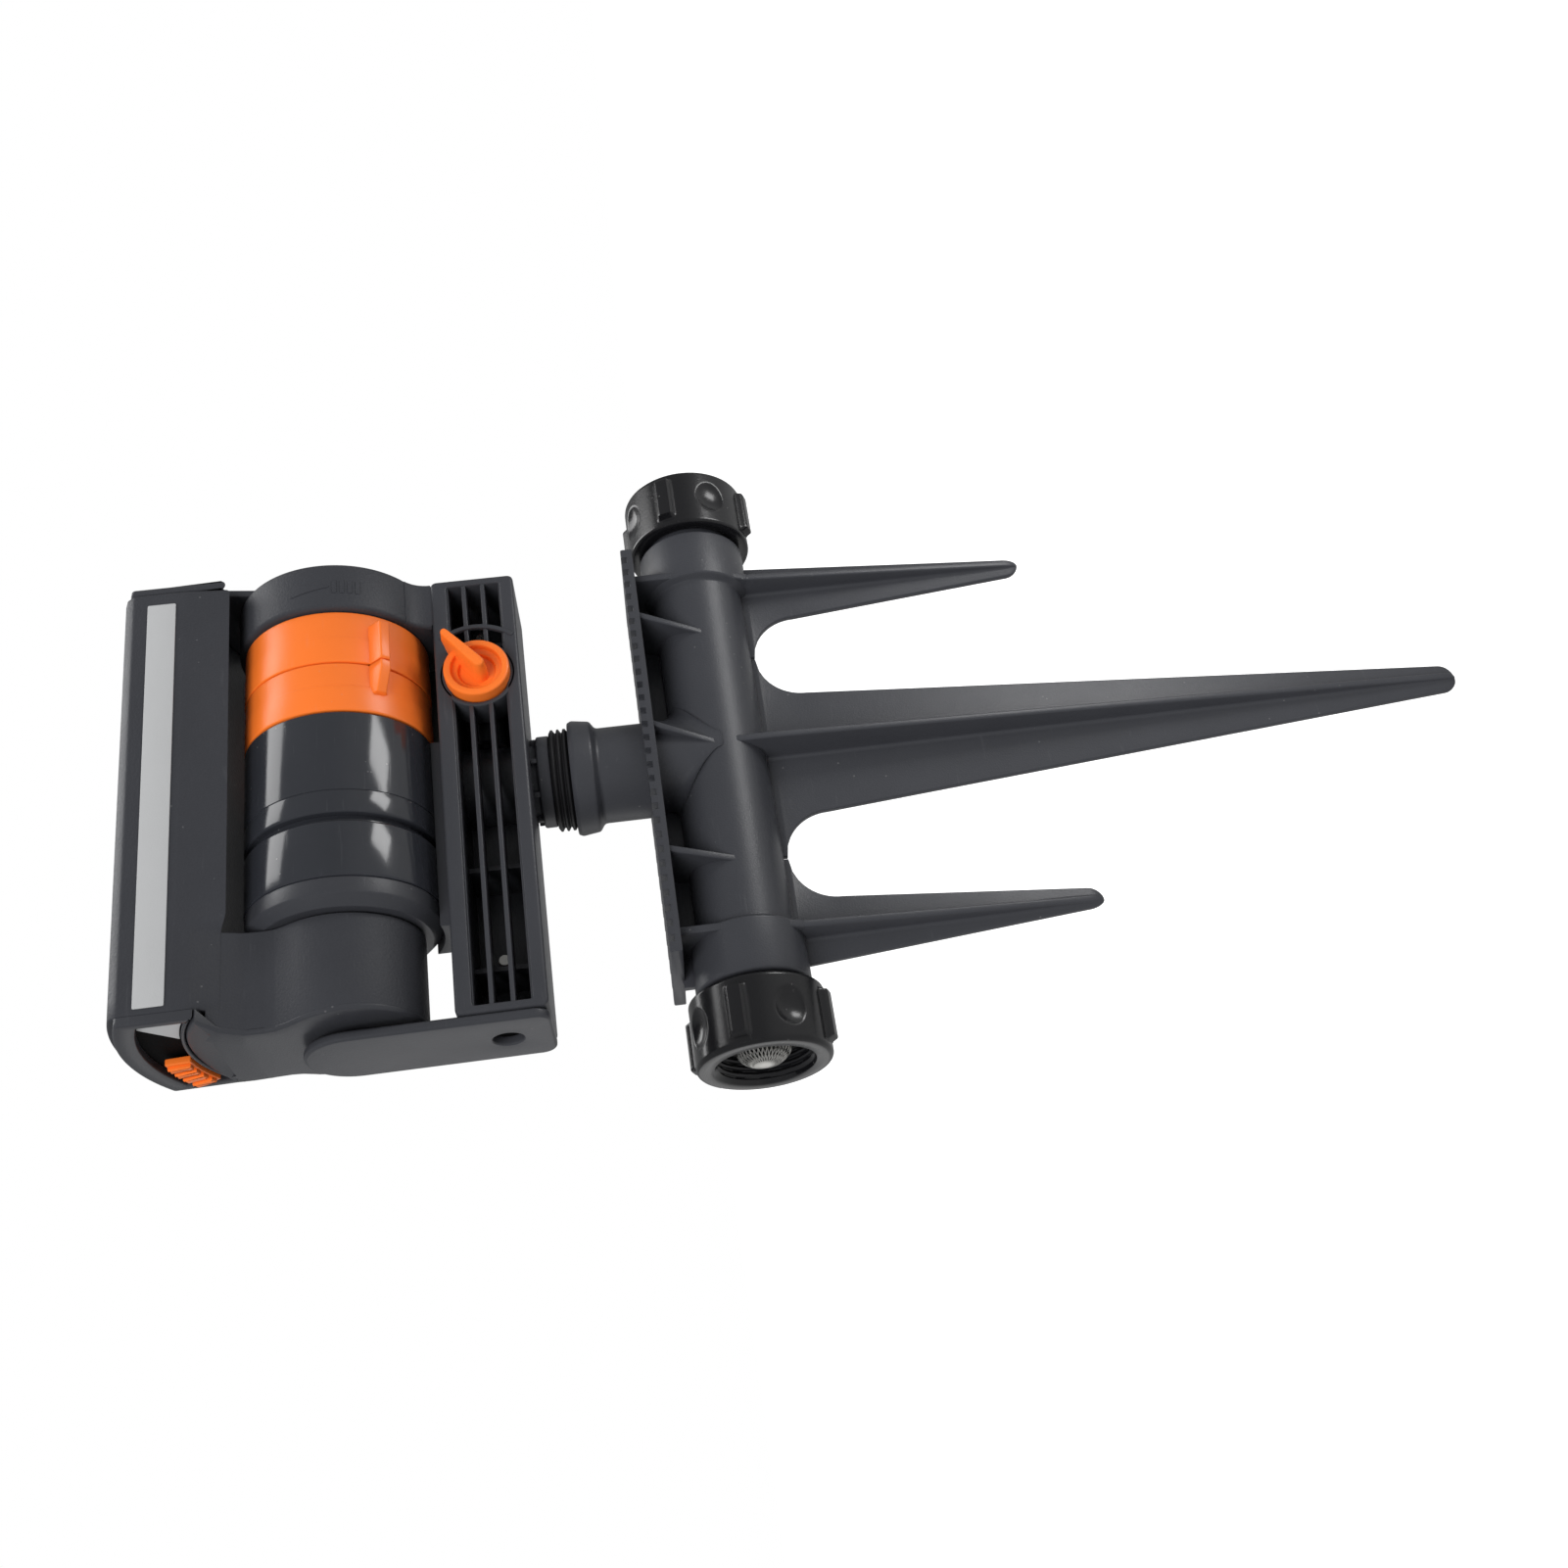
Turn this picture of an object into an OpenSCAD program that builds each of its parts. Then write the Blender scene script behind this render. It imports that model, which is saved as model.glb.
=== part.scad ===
// Oscillating drum sprinkler on a three-prong step spike with an in-line hose tee.
// Frame: +Z up in use, the front faces -Y, the hose inlet is at the -X end.
// The origin is on the stem axis at the ground line.

/* [Spike base] */
// Height of the cross tube axis over the ground line
tube_z = 15; // [14:0.5:18]
// Outer radius of the cross tube
tube_r = 13.2; // [12.6:0.1:14]
// Outer radius of the cross tube's end bosses
boss_r = 15.4; // [14.6:0.1:16]
// Outer radius of the upright stem
stem_r = 13.4; // [12.8:0.1:14]
// Bore radius of the stem socket
socket_r = 10; // [9.5:0.1:10.5]
// Half-length of the step plate
plate_half = 64; // [60:0.5:70]
// Half-depth of the step plate
plate_deep = 18; // [16:0.5:20]
// Thickness of the step plate
plate_t = 3.3; // [3.1:0.1:4]
// Depth below ground of the centre spike's tip
long_tip = 202; // [180:1:220]
// Depth below ground of the side spikes' tips
side_tip = 82.6; // [75:0.5:95]
// Distance of each side spike from the stem axis
side_x = 56.5; // [55:0.5:58]
// Web and rib thickness of the spikes
web_t = 2.4; // [1.8:0.1:3]

/* [Hose fittings] */
// Outer radius of the hose nut and the end cap
nut_r = 17.9; // [17.5:0.1:18.5]
// Length of the hose nut and the end cap
nut_l = 18.8; // [18.5:0.1:20]
// Thread crest radius inside the hose nut
thread_r = 12.2; // [12:0.05:12.4]
// Radius of the inlet filter's mesh thimble
mesh_r = 7.75; // [7:0.05:8]

/* [Head] */
// Height of the drum axis over the ground line
drum_z = 119; // [118:0.5:122]
// Distance of the drum axis in front of the stem axis
drum_y = 7.3; // [6:0.1:8]
// Outer radius of the drum
drum_r = 25.4; // [25:0.1:25.8]
// Outer radius of the far housing
hump_r = 27; // [26.4:0.1:27.6]
// Outer radius of the nozzle bar about the drum axis
bar_r = 57; // [55:0.5:60]
// Inner radius of the nozzle bar about the drum axis
bar_in = 32.5; // [31:0.5:34]
// Half-depth of the nozzle bar
bar_half = 21.2; // [20:0.1:22]
// Number of spray nozzles
nozzle_n = 18; // [12:1:20]
// Height of the tab on each range ring
tab_h = 4.4; // [3.5:0.1:4.6]

/* [Motion] */
// Angle of the range rings' tabs down from the vertical
tab_at = 125; // [110:1:140]
// Angle of the flow knob's lever from the vertical
knob_at = 51; // [45:1:60]
// Angle of the width slider at rest, towards the back
slider_at = 13; // [0:1:13]

/* [Hidden] */
$fn = 96;
e = 0.02;
far_x = 57.5;
plate_z = tube_z + 17.7;
head_z0 = 67.3;
head_z1 = 90.5;
knob_x = 25;
knob_z = 79;
front_y = -20;
back_y = 5.5;
wall = 2.2;
screw_x = [-53, 50];

// Solids along X.
module xcyl(r, x0, x1, y = 0, z = 0)
    translate([x0, y, z]) rotate([0, 90, 0]) cylinder(r = r, h = x1 - x0);
module xtube(ro, ri, x0, x1, y = 0, z = 0) difference() {
    xcyl(ro, x0, x1, y, z);
    xcyl(ri, x0 - 1, x1 + 1, y, z);
}
// Extrudes a (y, z) outline along X.
module xprism(x0, x1)
    translate([x0, 0, 0]) rotate([90, 0, 90]) linear_extrude(x1 - x0) children();
// Extrudes an (x, z) outline along Y.
module yprism(y0, y1)
    translate([0, y1, 0]) rotate([90, 0, 0]) linear_extrude(y1 - y0) children();
module box(x0, x1, y0, y1, z0, z1)
    translate([x0, y0, z0]) cube([x1 - x0, y1 - y0, z1 - z0]);
// Moves a (u, v) outline about the drum axis into the (y, z) plane.
module at_drum() translate([-drum_y, drum_z]) children();
module drum_cyl(r, x0, x1) xcyl(r, x0, x1, -drum_y, drum_z);
module drum_tube(ro, ri, x0, x1) xtube(ro, ri, x0, x1, -drum_y, drum_z);
module spin_drum(a)
    translate([0, -drum_y, drum_z]) rotate([a, 0, 0]) translate([0, drum_y, -drum_z])
        children();

// ---- Spike base ----
module cross_tube() color([0.24, 0.24, 0.26]) difference() {
    union() {
        xcyl(tube_r, -71.4, 71.4, 0, tube_z);
        for (s = [-1, 1]) xcyl(boss_r, min(s * 55, s * 70.6), max(s * 55, s * 70.6), 0, tube_z);
        xcyl(10.95, -75, -71.3, 0, tube_z);
        xcyl(11.9, -76.4, -74.9, 0, tube_z);
        xcyl(13.15, 71.3, 84, 0, tube_z);
    }
    xcyl(8.5, -80, 90, 0, tube_z);
    translate([0, 0, tube_z]) cylinder(r = socket_r, h = 50);
}
// Upright stem over the cross tube, with the collar that the head turns on.
module stem_socket() color([0.24, 0.24, 0.26]) difference() {
    union() {
        translate([0, 0, tube_z + 4]) cylinder(r = stem_r, h = 30);
        translate([0, 0, tube_z + 34]) cylinder(r1 = stem_r, r2 = 15.5, h = 1.4);
        translate([0, 0, tube_z + 35.4]) cylinder(r1 = 15.5, r2 = 16.2, h = 5);
        translate([0, 0, tube_z + 40.4]) cylinder(r1 = 16.2, r2 = 15, h = 1.2);
    }
    xcyl(tube_r + e, -30, 30, 0, tube_z);
    translate([0, 0, tube_z]) cylinder(r = socket_r, h = 50);
}

module step_plate() color([0.24, 0.24, 0.26]) difference() {
    box(-plate_half, plate_half, -plate_deep, plate_deep, plate_z, plate_z + plate_t);
    translate([0, 0, 0]) cylinder(r = stem_r + e, h = 60);
    for (i = [-14 : 14]) if (abs(i) > 3)
        box(i * 4.3 - 1.05, i * 4.3 + 1.05, -20, 20, plate_z + plate_t - 1.6, 60);
    for (i = [-3 : 3], s = [-1, 1])
        translate([i * 4.3, s * 18, plate_z + plate_t + 2]) cube([2.1, 4, 7.2], center = true);
}

// Upright webs between the step plate and the cross tube, tied by one long web over the tube.
module plate_ribs() color([0.24, 0.24, 0.26]) difference() {
    union() {
        for (w = [[-37.2, -33.8], [-1.2, 5.2], [36, 41.6]]) intersection() {
            xprism(-50, 50)
                polygon([[-17, plate_z - e], [17, plate_z - e], [13, tube_z], [-13, tube_z]]);
            yprism(-20, 20) polygon([[w[1] - 1, plate_z], [w[1] + 1, plate_z],
                [w[0] + 1, tube_z], [w[0] - 1, tube_z]]);
        }
        box(-54.9, 54.9, 1.8, 4.2, tube_z, plate_z - e);
    }
    xcyl(tube_r + e, -90, 90, 0, tube_z);
    cylinder(r = stem_r + e, h = 60);
}

// Cross-shaped spike: a flat web across X and a rib front and back.
module spike(tip, top_half, slope, rib0, rib_slope, fillet, skin) difference() {
    union() {
        yprism(-web_t / 2, web_t / 2) difference() {
            polygon([[-top_half - fillet, 6], [-top_half - fillet, 0.6],
                [-top_half, -12.4], [-(top_half - slope * (tip - 5)), -tip + 5],
                [0, -tip], [top_half - slope * (tip - 5), -tip + 5],
                [top_half, -12.4], [top_half + fillet, 0.6], [top_half + fillet, 6]]);
            for (s = [-1, 1]) translate([s * (top_half + fillet), -12.4]) circle(fillet);
        }
        xprism(-web_t / 2, web_t / 2) polygon([[-rib0, 12], [rib0, 12], [rib0, 0],
            [rib0 - rib_slope * (tip - 3), -tip + 3], [0, -tip + 0.3],
            [-rib0 + rib_slope * (tip - 3), -tip + 3], [-rib0, 0]]);
    }
    translate([-skin, 0, 0]) xcyl(tube_r + e, -90, 90, 0, tube_z);
    box(-90, 90, -40, 40, tube_z, 60);
}
module spike_centre() color([0.24, 0.24, 0.26])
    spike(long_tip, 19.5, 0.0815, 12.4, 0.0505, 13, 0);
module side_spike() intersection() {
    difference() {
        translate([side_x, 0, 0]) spike(side_tip, 10.3, 0.098, 9, 0.088, 13, side_x);
        yprism(-3, 3) polygon([[side_x + 8.6, 30], [side_x + 8.6, 0],
            [side_x + 2, -side_tip + 2], [side_x + 30, -side_tip + 2], [side_x + 30, 30]]);
        xcyl(boss_r + e, 54.98, 70.7, 0, tube_z);
    }
    box(32.6, 68, -30, 30, -100, tube_z);
}
module spike_far() color([0.24, 0.24, 0.26]) union() {
    side_spike();
    end_rib();
}
module spike_near() color([0.24, 0.24, 0.26]) mirror([1, 0, 0]) union() {
    side_spike();
    end_rib();
}
// Web over the boss, in line with a side spike, up to the step plate, and the end of the long web.
module end_rib() difference() {
    union() {
        xprism(side_x - 1.2, side_x + 1.2)
            polygon([[-13.6, plate_z - e], [13.6, plate_z - e], [13.6, tube_z - 4],
                [9, 0], [-9, 0], [-13.6, tube_z - 4]]);
        box(side_x, 66, 1.8, 4.2, tube_z, plate_z - e);
    }
    xcyl(boss_r + e, 40, 80, 0, tube_z);
}

// ---- Hose fittings ----
module grip_shell() difference() {
    union() {
        xcyl(nut_r, 0.8, nut_l - 0.8);
        translate([0, 0, 0]) rotate([0, 90, 0]) cylinder(r1 = nut_r - 0.8, r2 = nut_r, h = 0.8);
        translate([nut_l - 0.8, 0, 0]) rotate([0, 90, 0])
            cylinder(r1 = nut_r, r2 = nut_r - 0.8, h = 0.8);
        for (a = [-20, 70, 160, 250]) rotate([a, 0, 0]) xcyl(3, 1.6, nut_l - 2.4, -16.9, 0);
    }
    for (a = [25, 115, 205, 295]) rotate([a, 0, 0])
        translate([nut_l / 2, -25.6, 0]) sphere(r = 9.4);
}
module hose_nut() color([0.1, 0.1, 0.11]) translate([-72.2, 0, tube_z]) mirror([1, 0, 0])
difference() {
    grip_shell();
    xcyl(11, -1, 10);
    xcyl(12.6, 2.6, 7.82);
    xcyl(thread_r, 7.8, 30);
    translate([nut_l - 1, 0, 0]) rotate([0, 90, 0])
        cylinder(r1 = thread_r, r2 = thread_r + 1.4, h = 1.01);
}
module hose_washer() color([0.08, 0.08, 0.08]) xtube(11.9, 8.3, -79, -76.42, 0, tube_z);
module filter_rim() color([0.7, 0.7, 0.7]) xtube(11.4, 7.3, -79.9, -79.02, 0, tube_z);
// Thimble of woven wire, open towards the cross tube.
module filter_mesh() color([0.75, 0.75, 0.74]) translate([-79.92, 0, tube_z])
rotate([0, -90, 0]) difference() {
    union() {
        cylinder(r = mesh_r, h = 6.6);
        translate([0, 0, 6.6]) cylinder(r1 = mesh_r, r2 = mesh_r - 1, h = 3);
        translate([0, 0, 9.5]) cylinder(r1 = mesh_r - 1, r2 = mesh_r - 3.5, h = 2);
    }
    translate([0, 0, -1]) cylinder(r = mesh_r - 0.6, h = 7.6);
    translate([0, 0, 6.5]) cylinder(r1 = mesh_r - 0.6, r2 = mesh_r - 2, h = 3);
}
module end_cap() color([0.1, 0.1, 0.11]) translate([72.2, 0, tube_z]) difference() {
    grip_shell();
    xcyl(13.2, -1, nut_l - 2.6);
    translate([-0.01, 0, 0]) rotate([0, 90, 0]) cylinder(r1 = 16.2, r2 = 14.4, h = 2.2);
}
module cap_washer() color([0.08, 0.08, 0.08]) xtube(12.9, 7, 84.02, 86.4, 0, tube_z);

// ---- Head base ----
module chassis() color([0.24, 0.24, 0.26]) difference() {
    union() {
        difference() {
            box(-75, far_x, front_y, back_y, head_z0, head_z1);
            box(-72.8, 55.3, front_y + wall, back_y - wall, head_z0 + wall, head_z1 - wall);
        }
        for (x = screw_x) translate([x, back_y, 79]) rotate([90, 0, 0]) cylinder(r = 4, h = 8);
        translate([knob_x, -11, knob_z]) rotate([90, 0, 0]) cylinder(r = 10.6, h = 9.6);
        difference() {
            box(-45.9, 9.9, front_y + 3, back_y, head_z1 - 1, drum_z - 22.2);
            drum_cyl(drum_r + e, -60, 60);
        }
        difference() {
            box(9.8, 42.2, back_y - 4, back_y, head_z1 - 1, drum_z - 22.8);
            drum_cyl(drum_r + 0.4, -60, 60);
        }
    }
    for (z = [71.3, 76.6, 81.9]) difference() {
        box(-73, 55.2, front_y - 1, front_y + wall + 1, z, z + 4.1);
        translate([knob_x, 0, knob_z]) rotate([90, 0, 0]) cylinder(r = 10.6, h = 40);
    }
    translate([0, 0, head_z0 - 1]) cylinder(r = 11 + e, h = 30);
    translate([knob_x, 0, knob_z]) rotate([90, 0, 0]) cylinder(r = 3.5, h = 40);
    translate([knob_x, -18.3, knob_z]) rotate([90, 0, 0]) cylinder(r = 9.3, h = 10);
    for (x = screw_x) translate([x, 8, 79]) rotate([90, 0, 0]) {
        cylinder(r = 1.5, h = 9.5);
        cylinder(r = 2.8, h = 4.2);
    }
}
// Raised arc beside the flow knob that marks its travel.
module flow_scale() color([0.24, 0.24, 0.26]) intersection() {
    translate([knob_x, front_y - 0.02, knob_z]) rotate([90, 0, 0]) difference() {
        cylinder(r = 16.4, h = 0.9);
        translate([0, 0, -1]) cylinder(r = 15.2, h = 3);
    }
    box(knob_x + 11, knob_x + 20, -30, 0, knob_z - 8, knob_z + 11);
}
module chassis_screws() color([0.7, 0.7, 0.72])
for (x = screw_x) translate([x, back_y, 79]) rotate([90, 0, 0]) difference() {
    union() {
        cylinder(r = 1.45, h = 6.8);
        cylinder(r = 2.7, h = 1.6);
    }
    translate([-0.4, -1.8, -1]) cube([0.8, 3.6, 1.8]);
    translate([-1.8, -0.4, -1]) cube([3.6, 0.8, 1.8]);
}
// Plate at the near end: it carries the drum axis and a peg hole.
module near_arm() color([0.24, 0.24, 0.26]) difference() {
    union() {
        xprism(-77.7, -75.02) difference() {
            union() {
                translate([-drum_y, drum_z - 2]) circle(12.8);
                translate([-drum_y - 12.8, head_z0 + 4]) square([25.6, drum_z - 6 - head_z0]);
                for (s = [-1, 1]) translate([-drum_y + s * 8.8, head_z0 + 4]) circle(4);
                translate([-drum_y - 8.8, head_z0]) square([17.6, 10]);
            }
        }
        drum_cyl(5, -75.1, -70.6);
    }
    xcyl(3.9, -90, -60, -drum_y, 78.9);
}
// Round housing at the far end: it feeds the drum and carries its axis.
module far_housing() color([0.24, 0.24, 0.26]) difference() {
    union() {
        drum_cyl(hump_r, 42.6, far_x);
        box(42.6, far_x, front_y, back_y, head_z1 + e, drum_z - 4);
        drum_cyl(6, far_x - 0.1, 63.4);
    }
    drum_cyl(21.9, 42, 49);
    drum_cyl(1.4, 56, 64);
    box(45, 55, -6, 2, 80, 104);
}
module inlet_spigot() color([0.16, 0.16, 0.17]) difference() {
    union() {
        translate([0, 0, 42]) cylinder(r = socket_r - 0.05, h = 20.2);
        translate([0, 0, 62]) cylinder(r = 12.8, h = 3.6);
        translate([0, 0, 65.5]) cylinder(r = 11, h = 21.5);
        for (a = [0 : 45 : 315]) rotate([0, 0, a]) box(9, 12.4, -0.7, 0.7, 65.5, head_z0 - e);
    }
    translate([0, 0, 40]) cylinder(r = 8, h = 44);
    for (z = [46, 51]) translate([0, 0, z]) rotate_extrude() translate([9.3, 0]) square(2);
    translate([0, 0, 79]) rotate([0, 90, 0]) cylinder(r = 5, h = 20);
}
// Two O-rings in the spigot's grooves.
module spigot_oring() color([0.08, 0.08, 0.08]) for (z = [46, 51]) translate([0, 0, z])
    rotate_extrude() translate([9.32, 0.2]) square([0.66, 1.6]);
// Stack of three seal rings between the collar and the spigot flange.
module stem_rings() color([0.09, 0.09, 0.1]) translate([0, 0, 56.65]) rotate_extrude() {
    translate([socket_r + 0.05, 0]) square([13.4 - socket_r - 0.05, 5.28]);
    for (i = [0 : 2]) translate([13.3, i * 1.76])
        polygon([[0, 0.2], [1, 0.6], [1, 0.9], [0, 1.4]]);
}
module valve_body() color([0.3, 0.3, 0.32]) difference() {
    union() {
        translate([knob_x, -1, knob_z]) rotate([90, 0, 0]) cylinder(r = 8, h = 9.6);
        xcyl(5.5, 10, 20, -4, knob_z);
        xcyl(5.5, 30, 44, -4, knob_z);
    }
    cylinder(r = 11 + e, h = 120);
    xcyl(4, 8, 46, -4, knob_z);
    translate([knob_x, 0, knob_z]) rotate([90, 0, 0]) cylinder(r = 5.6, h = 20);
}
module flow_knob() color([1, 0.49, 0.2]) difference() {
    union() {
        translate([knob_x, -18.6, knob_z]) rotate([90, 0, 0]) cylinder(r = 9, h = 5.4);
        translate([knob_x, -22, knob_z]) rotate([0, knob_at, 0]) yprism(-7, 0)
            polygon([[-1.5, -5], [1.5, -5], [1.6, 4], [1.1, 13.2], [-1.1, 13.2], [-1.6, 4]]);
    }
    translate([knob_x, -21.6, knob_z]) rotate([90, 0, 0]) difference() {
        cylinder(r = 7.2, h = 4);
        rotate([0, 0, -knob_at]) translate([-1.8, -9, 0]) cube([3.6, 20, 5]);
    }
    translate([knob_x, 0, knob_z]) rotate([90, 0, 0]) cylinder(r = 1.6, h = 22);
}
module knob_spindle() color([0.75, 0.75, 0.75]) difference() {
    union() {
        translate([knob_x, -10.7, knob_z]) rotate([90, 0, 0]) cylinder(r = 3.45, h = 7.88);
        translate([knob_x, -2, knob_z]) rotate([90, 0, 0]) cylinder(r = 5.55, h = 8.7);
        translate([knob_x, -18, knob_z]) rotate([90, 0, 0]) cylinder(r = 1.55, h = 3.9);
    }
    xcyl(3, 0, 50, -5.6, knob_z);
}

// ---- Drum ----
module gear_housing() color([0.15, 0.15, 0.17]) difference() {
    union() {
        drum_cyl(drum_r, -20.4, 10.1);
        drum_cyl(21.85, 10, 48.9);
    }
    drum_cyl(23.2, -18.4, 8.6);
    drum_cyl(19.8, 7, 50);
    drum_cyl(4.05, -21, -18);
    xcyl(1.65, -19.6, -18, -drum_y, drum_z + 12);
}
module gearbox_cover() color([0.15, 0.15, 0.17]) difference() {
    union() {
        drum_cyl(23.5, -22.8, -20.42);
        drum_cyl(drum_r, -38.6, -22.7);
    }
    drum_cyl(21.4, -36.6, -22.6);
    drum_cyl(4.05, -40, 0);
}
module drum_flange() color([0.2, 0.2, 0.22]) difference() {
    union() {
        drum_cyl(25.2, -43.4, -38.62);
        translate([-43.4, -drum_y, drum_z]) rotate([0, -90, 0])
            cylinder(r1 = 25.2, r2 = 22.6, h = 2.6);
    }
    drum_cyl(20, -47, -40.6);
    drum_cyl(4.05, -50, 0);
}
module range_ring_far() color([1, 0.49, 0.2]) difference() {
    union() {
        drum_cyl(drum_r, 25.8, 42.2);
        spin_drum(tab_at) xprism(25.8, 38) at_drum()
            polygon([[-3.2, 24], [-1.3, drum_r + tab_h], [1.3, drum_r + tab_h], [2.4, 24]]);
    }
    drum_cyl(21.9, 20, 50);
}
module range_ring_near() color([1, 0.49, 0.2]) difference() {
    union() {
        drum_cyl(drum_r, 10.4, 25.4);
        spin_drum(tab_at) xprism(16.5, 25.4) at_drum()
            polygon([[-3.2, 24], [-1.3, drum_r + tab_h], [1.3, drum_r + tab_h], [2.4, 24]]);
    }
    drum_cyl(21.9, 0, 50);
}

// Toothed wheel along X; teeth are plain trapezoids.
module gear(n, m, x0, x1, bore, turn = 0) difference() {
    xprism(x0, x1) rotate(turn) union() {
        circle(n * m / 2 - 1.1 * m);
        for (i = [0 : n - 1]) rotate(i * 360 / n) translate([0, n * m / 2]) polygon([
            [-0.9 * m, -1.6 * m], [-0.62 * m, -0.3 * m], [-0.36 * m, 0.8 * m],
            [0.36 * m, 0.8 * m], [0.62 * m, -0.3 * m], [0.9 * m, -1.6 * m]]);
    }
    if (bore > 0) xcyl(bore, x0 - 1, x1 + 1);
}
// Water wheel on a short shaft with its pinion.
module turbine_wheel() color([0.85, 0.85, 0.83]) translate([0, -drum_y, drum_z]) union() {
    xcyl(7, 24, 38);
    for (a = [0 : 30 : 330]) rotate([a, 0, 0]) box(24.5, 37.5, -0.7, 0.7, 6.5, 17.5);
    xcyl(1.8, 4, 42);
    gear(8, 1, 4.6, 8.4, 0);
}
// Compound reduction gear beside the drum axis.
module reduction_gear() color([0.85, 0.85, 0.83])
translate([0, -drum_y, drum_z + 12]) union() {
    gear(16, 1, 4.8, 8.2, 0, 11.25);
    gear(8, 1, -12.6, -7.8, 0);
    xcyl(1.6, -19.4, 12.4);
}
// Plate between the gears and the turbine chamber.
module bearing_plate() color([0.6, 0.6, 0.62]) difference() {
    drum_cyl(19.78, 10.5, 12.6);
    drum_cyl(1.85, 9, 14);
    xcyl(1.65, 9, 14, -drum_y, drum_z + 12);
}
// Ring that turns the water into jets onto the turbine.
module jet_ring() color([0.6, 0.6, 0.62]) difference() {
    drum_cyl(19.78, 40.2, 42.4);
    drum_cyl(1.85, 39, 44);
    for (a = [15 : 60 : 330]) translate([0, -drum_y, drum_z]) rotate([a, 0, 0])
        xcyl(2.4, 39, 44, 0, 14);
}
module drive_shaft() color([0.85, 0.85, 0.83]) translate([0, -drum_y, drum_z]) union() {
    xcyl(4, -50, -10);
    gear(16, 1, -12.4, -8, 0, 11.25);
}

// ---- Oscillating nozzle head ----
module bar_outline(r_out, r_in, half) at_drum() difference() {
    intersection() {
        circle(r_out, $fn = 160);
        translate([-half, 18]) square([2 * half, 50]);
    }
    circle(r_in);
}
module nozzle_shell() color([0.22, 0.22, 0.24]) difference() {
    xprism(-68, 58) bar_outline(bar_r, bar_in, bar_half);
    xprism(-69, 55.8) bar_outline(bar_r - 2.2, bar_in + 2.2, bar_half - 2.2);
    box(-60, 50, -drum_y - 7, -drum_y + 7, drum_z + 50, 200);
}
// Block that joins the bar to the drum axis at the near end.
module nozzle_neck() color([0.22, 0.22, 0.24]) difference() {
    union() {
        drum_cyl(20.6, -72.2, -46.4);
        xprism(-68.1, -46.4) at_drum() intersection() {
            polygon([[-15.2, 0], [15.2, 0], [15.2, 40], [-15.2, 40]]);
            circle(bar_in - 0.02);
        }
        xprism(-72.2, -68.04) at_drum() face_outline();
    }
    drum_cyl(16, -69, -50);
    drum_cyl(4.02, -50.1, -40);
    drum_cyl(5.05, -73, -68);
}
module near_face() color([0.22, 0.22, 0.24]) difference() {
    xprism(-74.4, -72.22) at_drum() face_outline();
    drum_cyl(5.05, -80, -70);
}
module face_outline() intersection() {
    circle(38.6, $fn = 160);
    union() {
        circle(18.4);
        polygon([[-18.2, 0], [18.2, 0], [21, 26], [21, 40], [-21, 40], [-21, 26]]);
    }
}
// End ring of the bar with the curved slot for the width slider.
module slot_frame() color([0.22, 0.22, 0.24]) difference() {
    xprism(-70.4, -68.02) at_drum() difference() {
        intersection() {
            circle(bar_r - 1.4, $fn = 160);
            translate([-bar_half, 20]) square([bar_half + 25, 50]);
        }
        circle(38.9, $fn = 160);
    }
    xprism(-71, -67) at_drum() difference() {
        intersection() {
            circle(50.4, $fn = 160);
            translate([-18.6, 20]) square([37.6, 50]);
        }
        circle(39.6, $fn = 160);
    }
}
module far_plate() color([0.22, 0.22, 0.24]) difference() {
    union() {
        xprism(58.02, 60.2) bar_outline(bar_r - 1.4, bar_in, bar_half - 2);
        xprism(58.02, 60.2) at_drum() union() {
            circle(12);
            polygon([[-11.8, 0], [11.8, 0], [17, 34], [-17, 34]]);
        }
        xprism(60.2, 62) bar_outline(bar_r - 4, bar_in + 1, bar_half - 5);
    }
    drum_cyl(6.05, 50, 70);
}
module pivot_cap() color([0.22, 0.22, 0.24]) translate([0, -drum_y, drum_z]) union() {
    xcyl(9, 63.42, 65.2);
    xcyl(1.38, 57, 64);
}
module trim_strip() color([0.75, 0.75, 0.76])
    box(-66.4, 53.2, -drum_y - bar_half - 0.35, -drum_y - bar_half - 0.02,
        drum_z + 39.6, drum_z + 47.2);
module nozzle_plate() color([0.75, 0.75, 0.76]) difference() {
    xprism(-59.9, 49.9) at_drum() difference() {
        intersection() {
            circle(bar_r + 0.3, $fn = 160);
            translate([-6.9, 40]) square([13.8, 30]);
        }
        circle(bar_r - 2.2, $fn = 160);
    }
    for (i = [0 : nozzle_n - 1])
        translate([-55.6 + i * 100 / (nozzle_n - 1), -drum_y, drum_z + 40]) cylinder(r = 1.6, h = 30);
}
module spray_nozzles() color([0.15, 0.15, 0.16]) for (i = [0 : nozzle_n - 1])
    translate([-55.6 + i * 100 / (nozzle_n - 1), -drum_y, drum_z]) difference() {
        union() {
            translate([0, 0, bar_r - 4]) cylinder(r = 1.55, h = 5);
            translate([0, 0, bar_r + 0.9]) cylinder(r1 = 1.55, r2 = 1.1, h = 1);
            translate([0, 0, bar_r - 4]) cylinder(r = 2.4, h = 1.6);
        }
        translate([0, 0, 40]) cylinder(r = 0.6, h = 30);
    }
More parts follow.
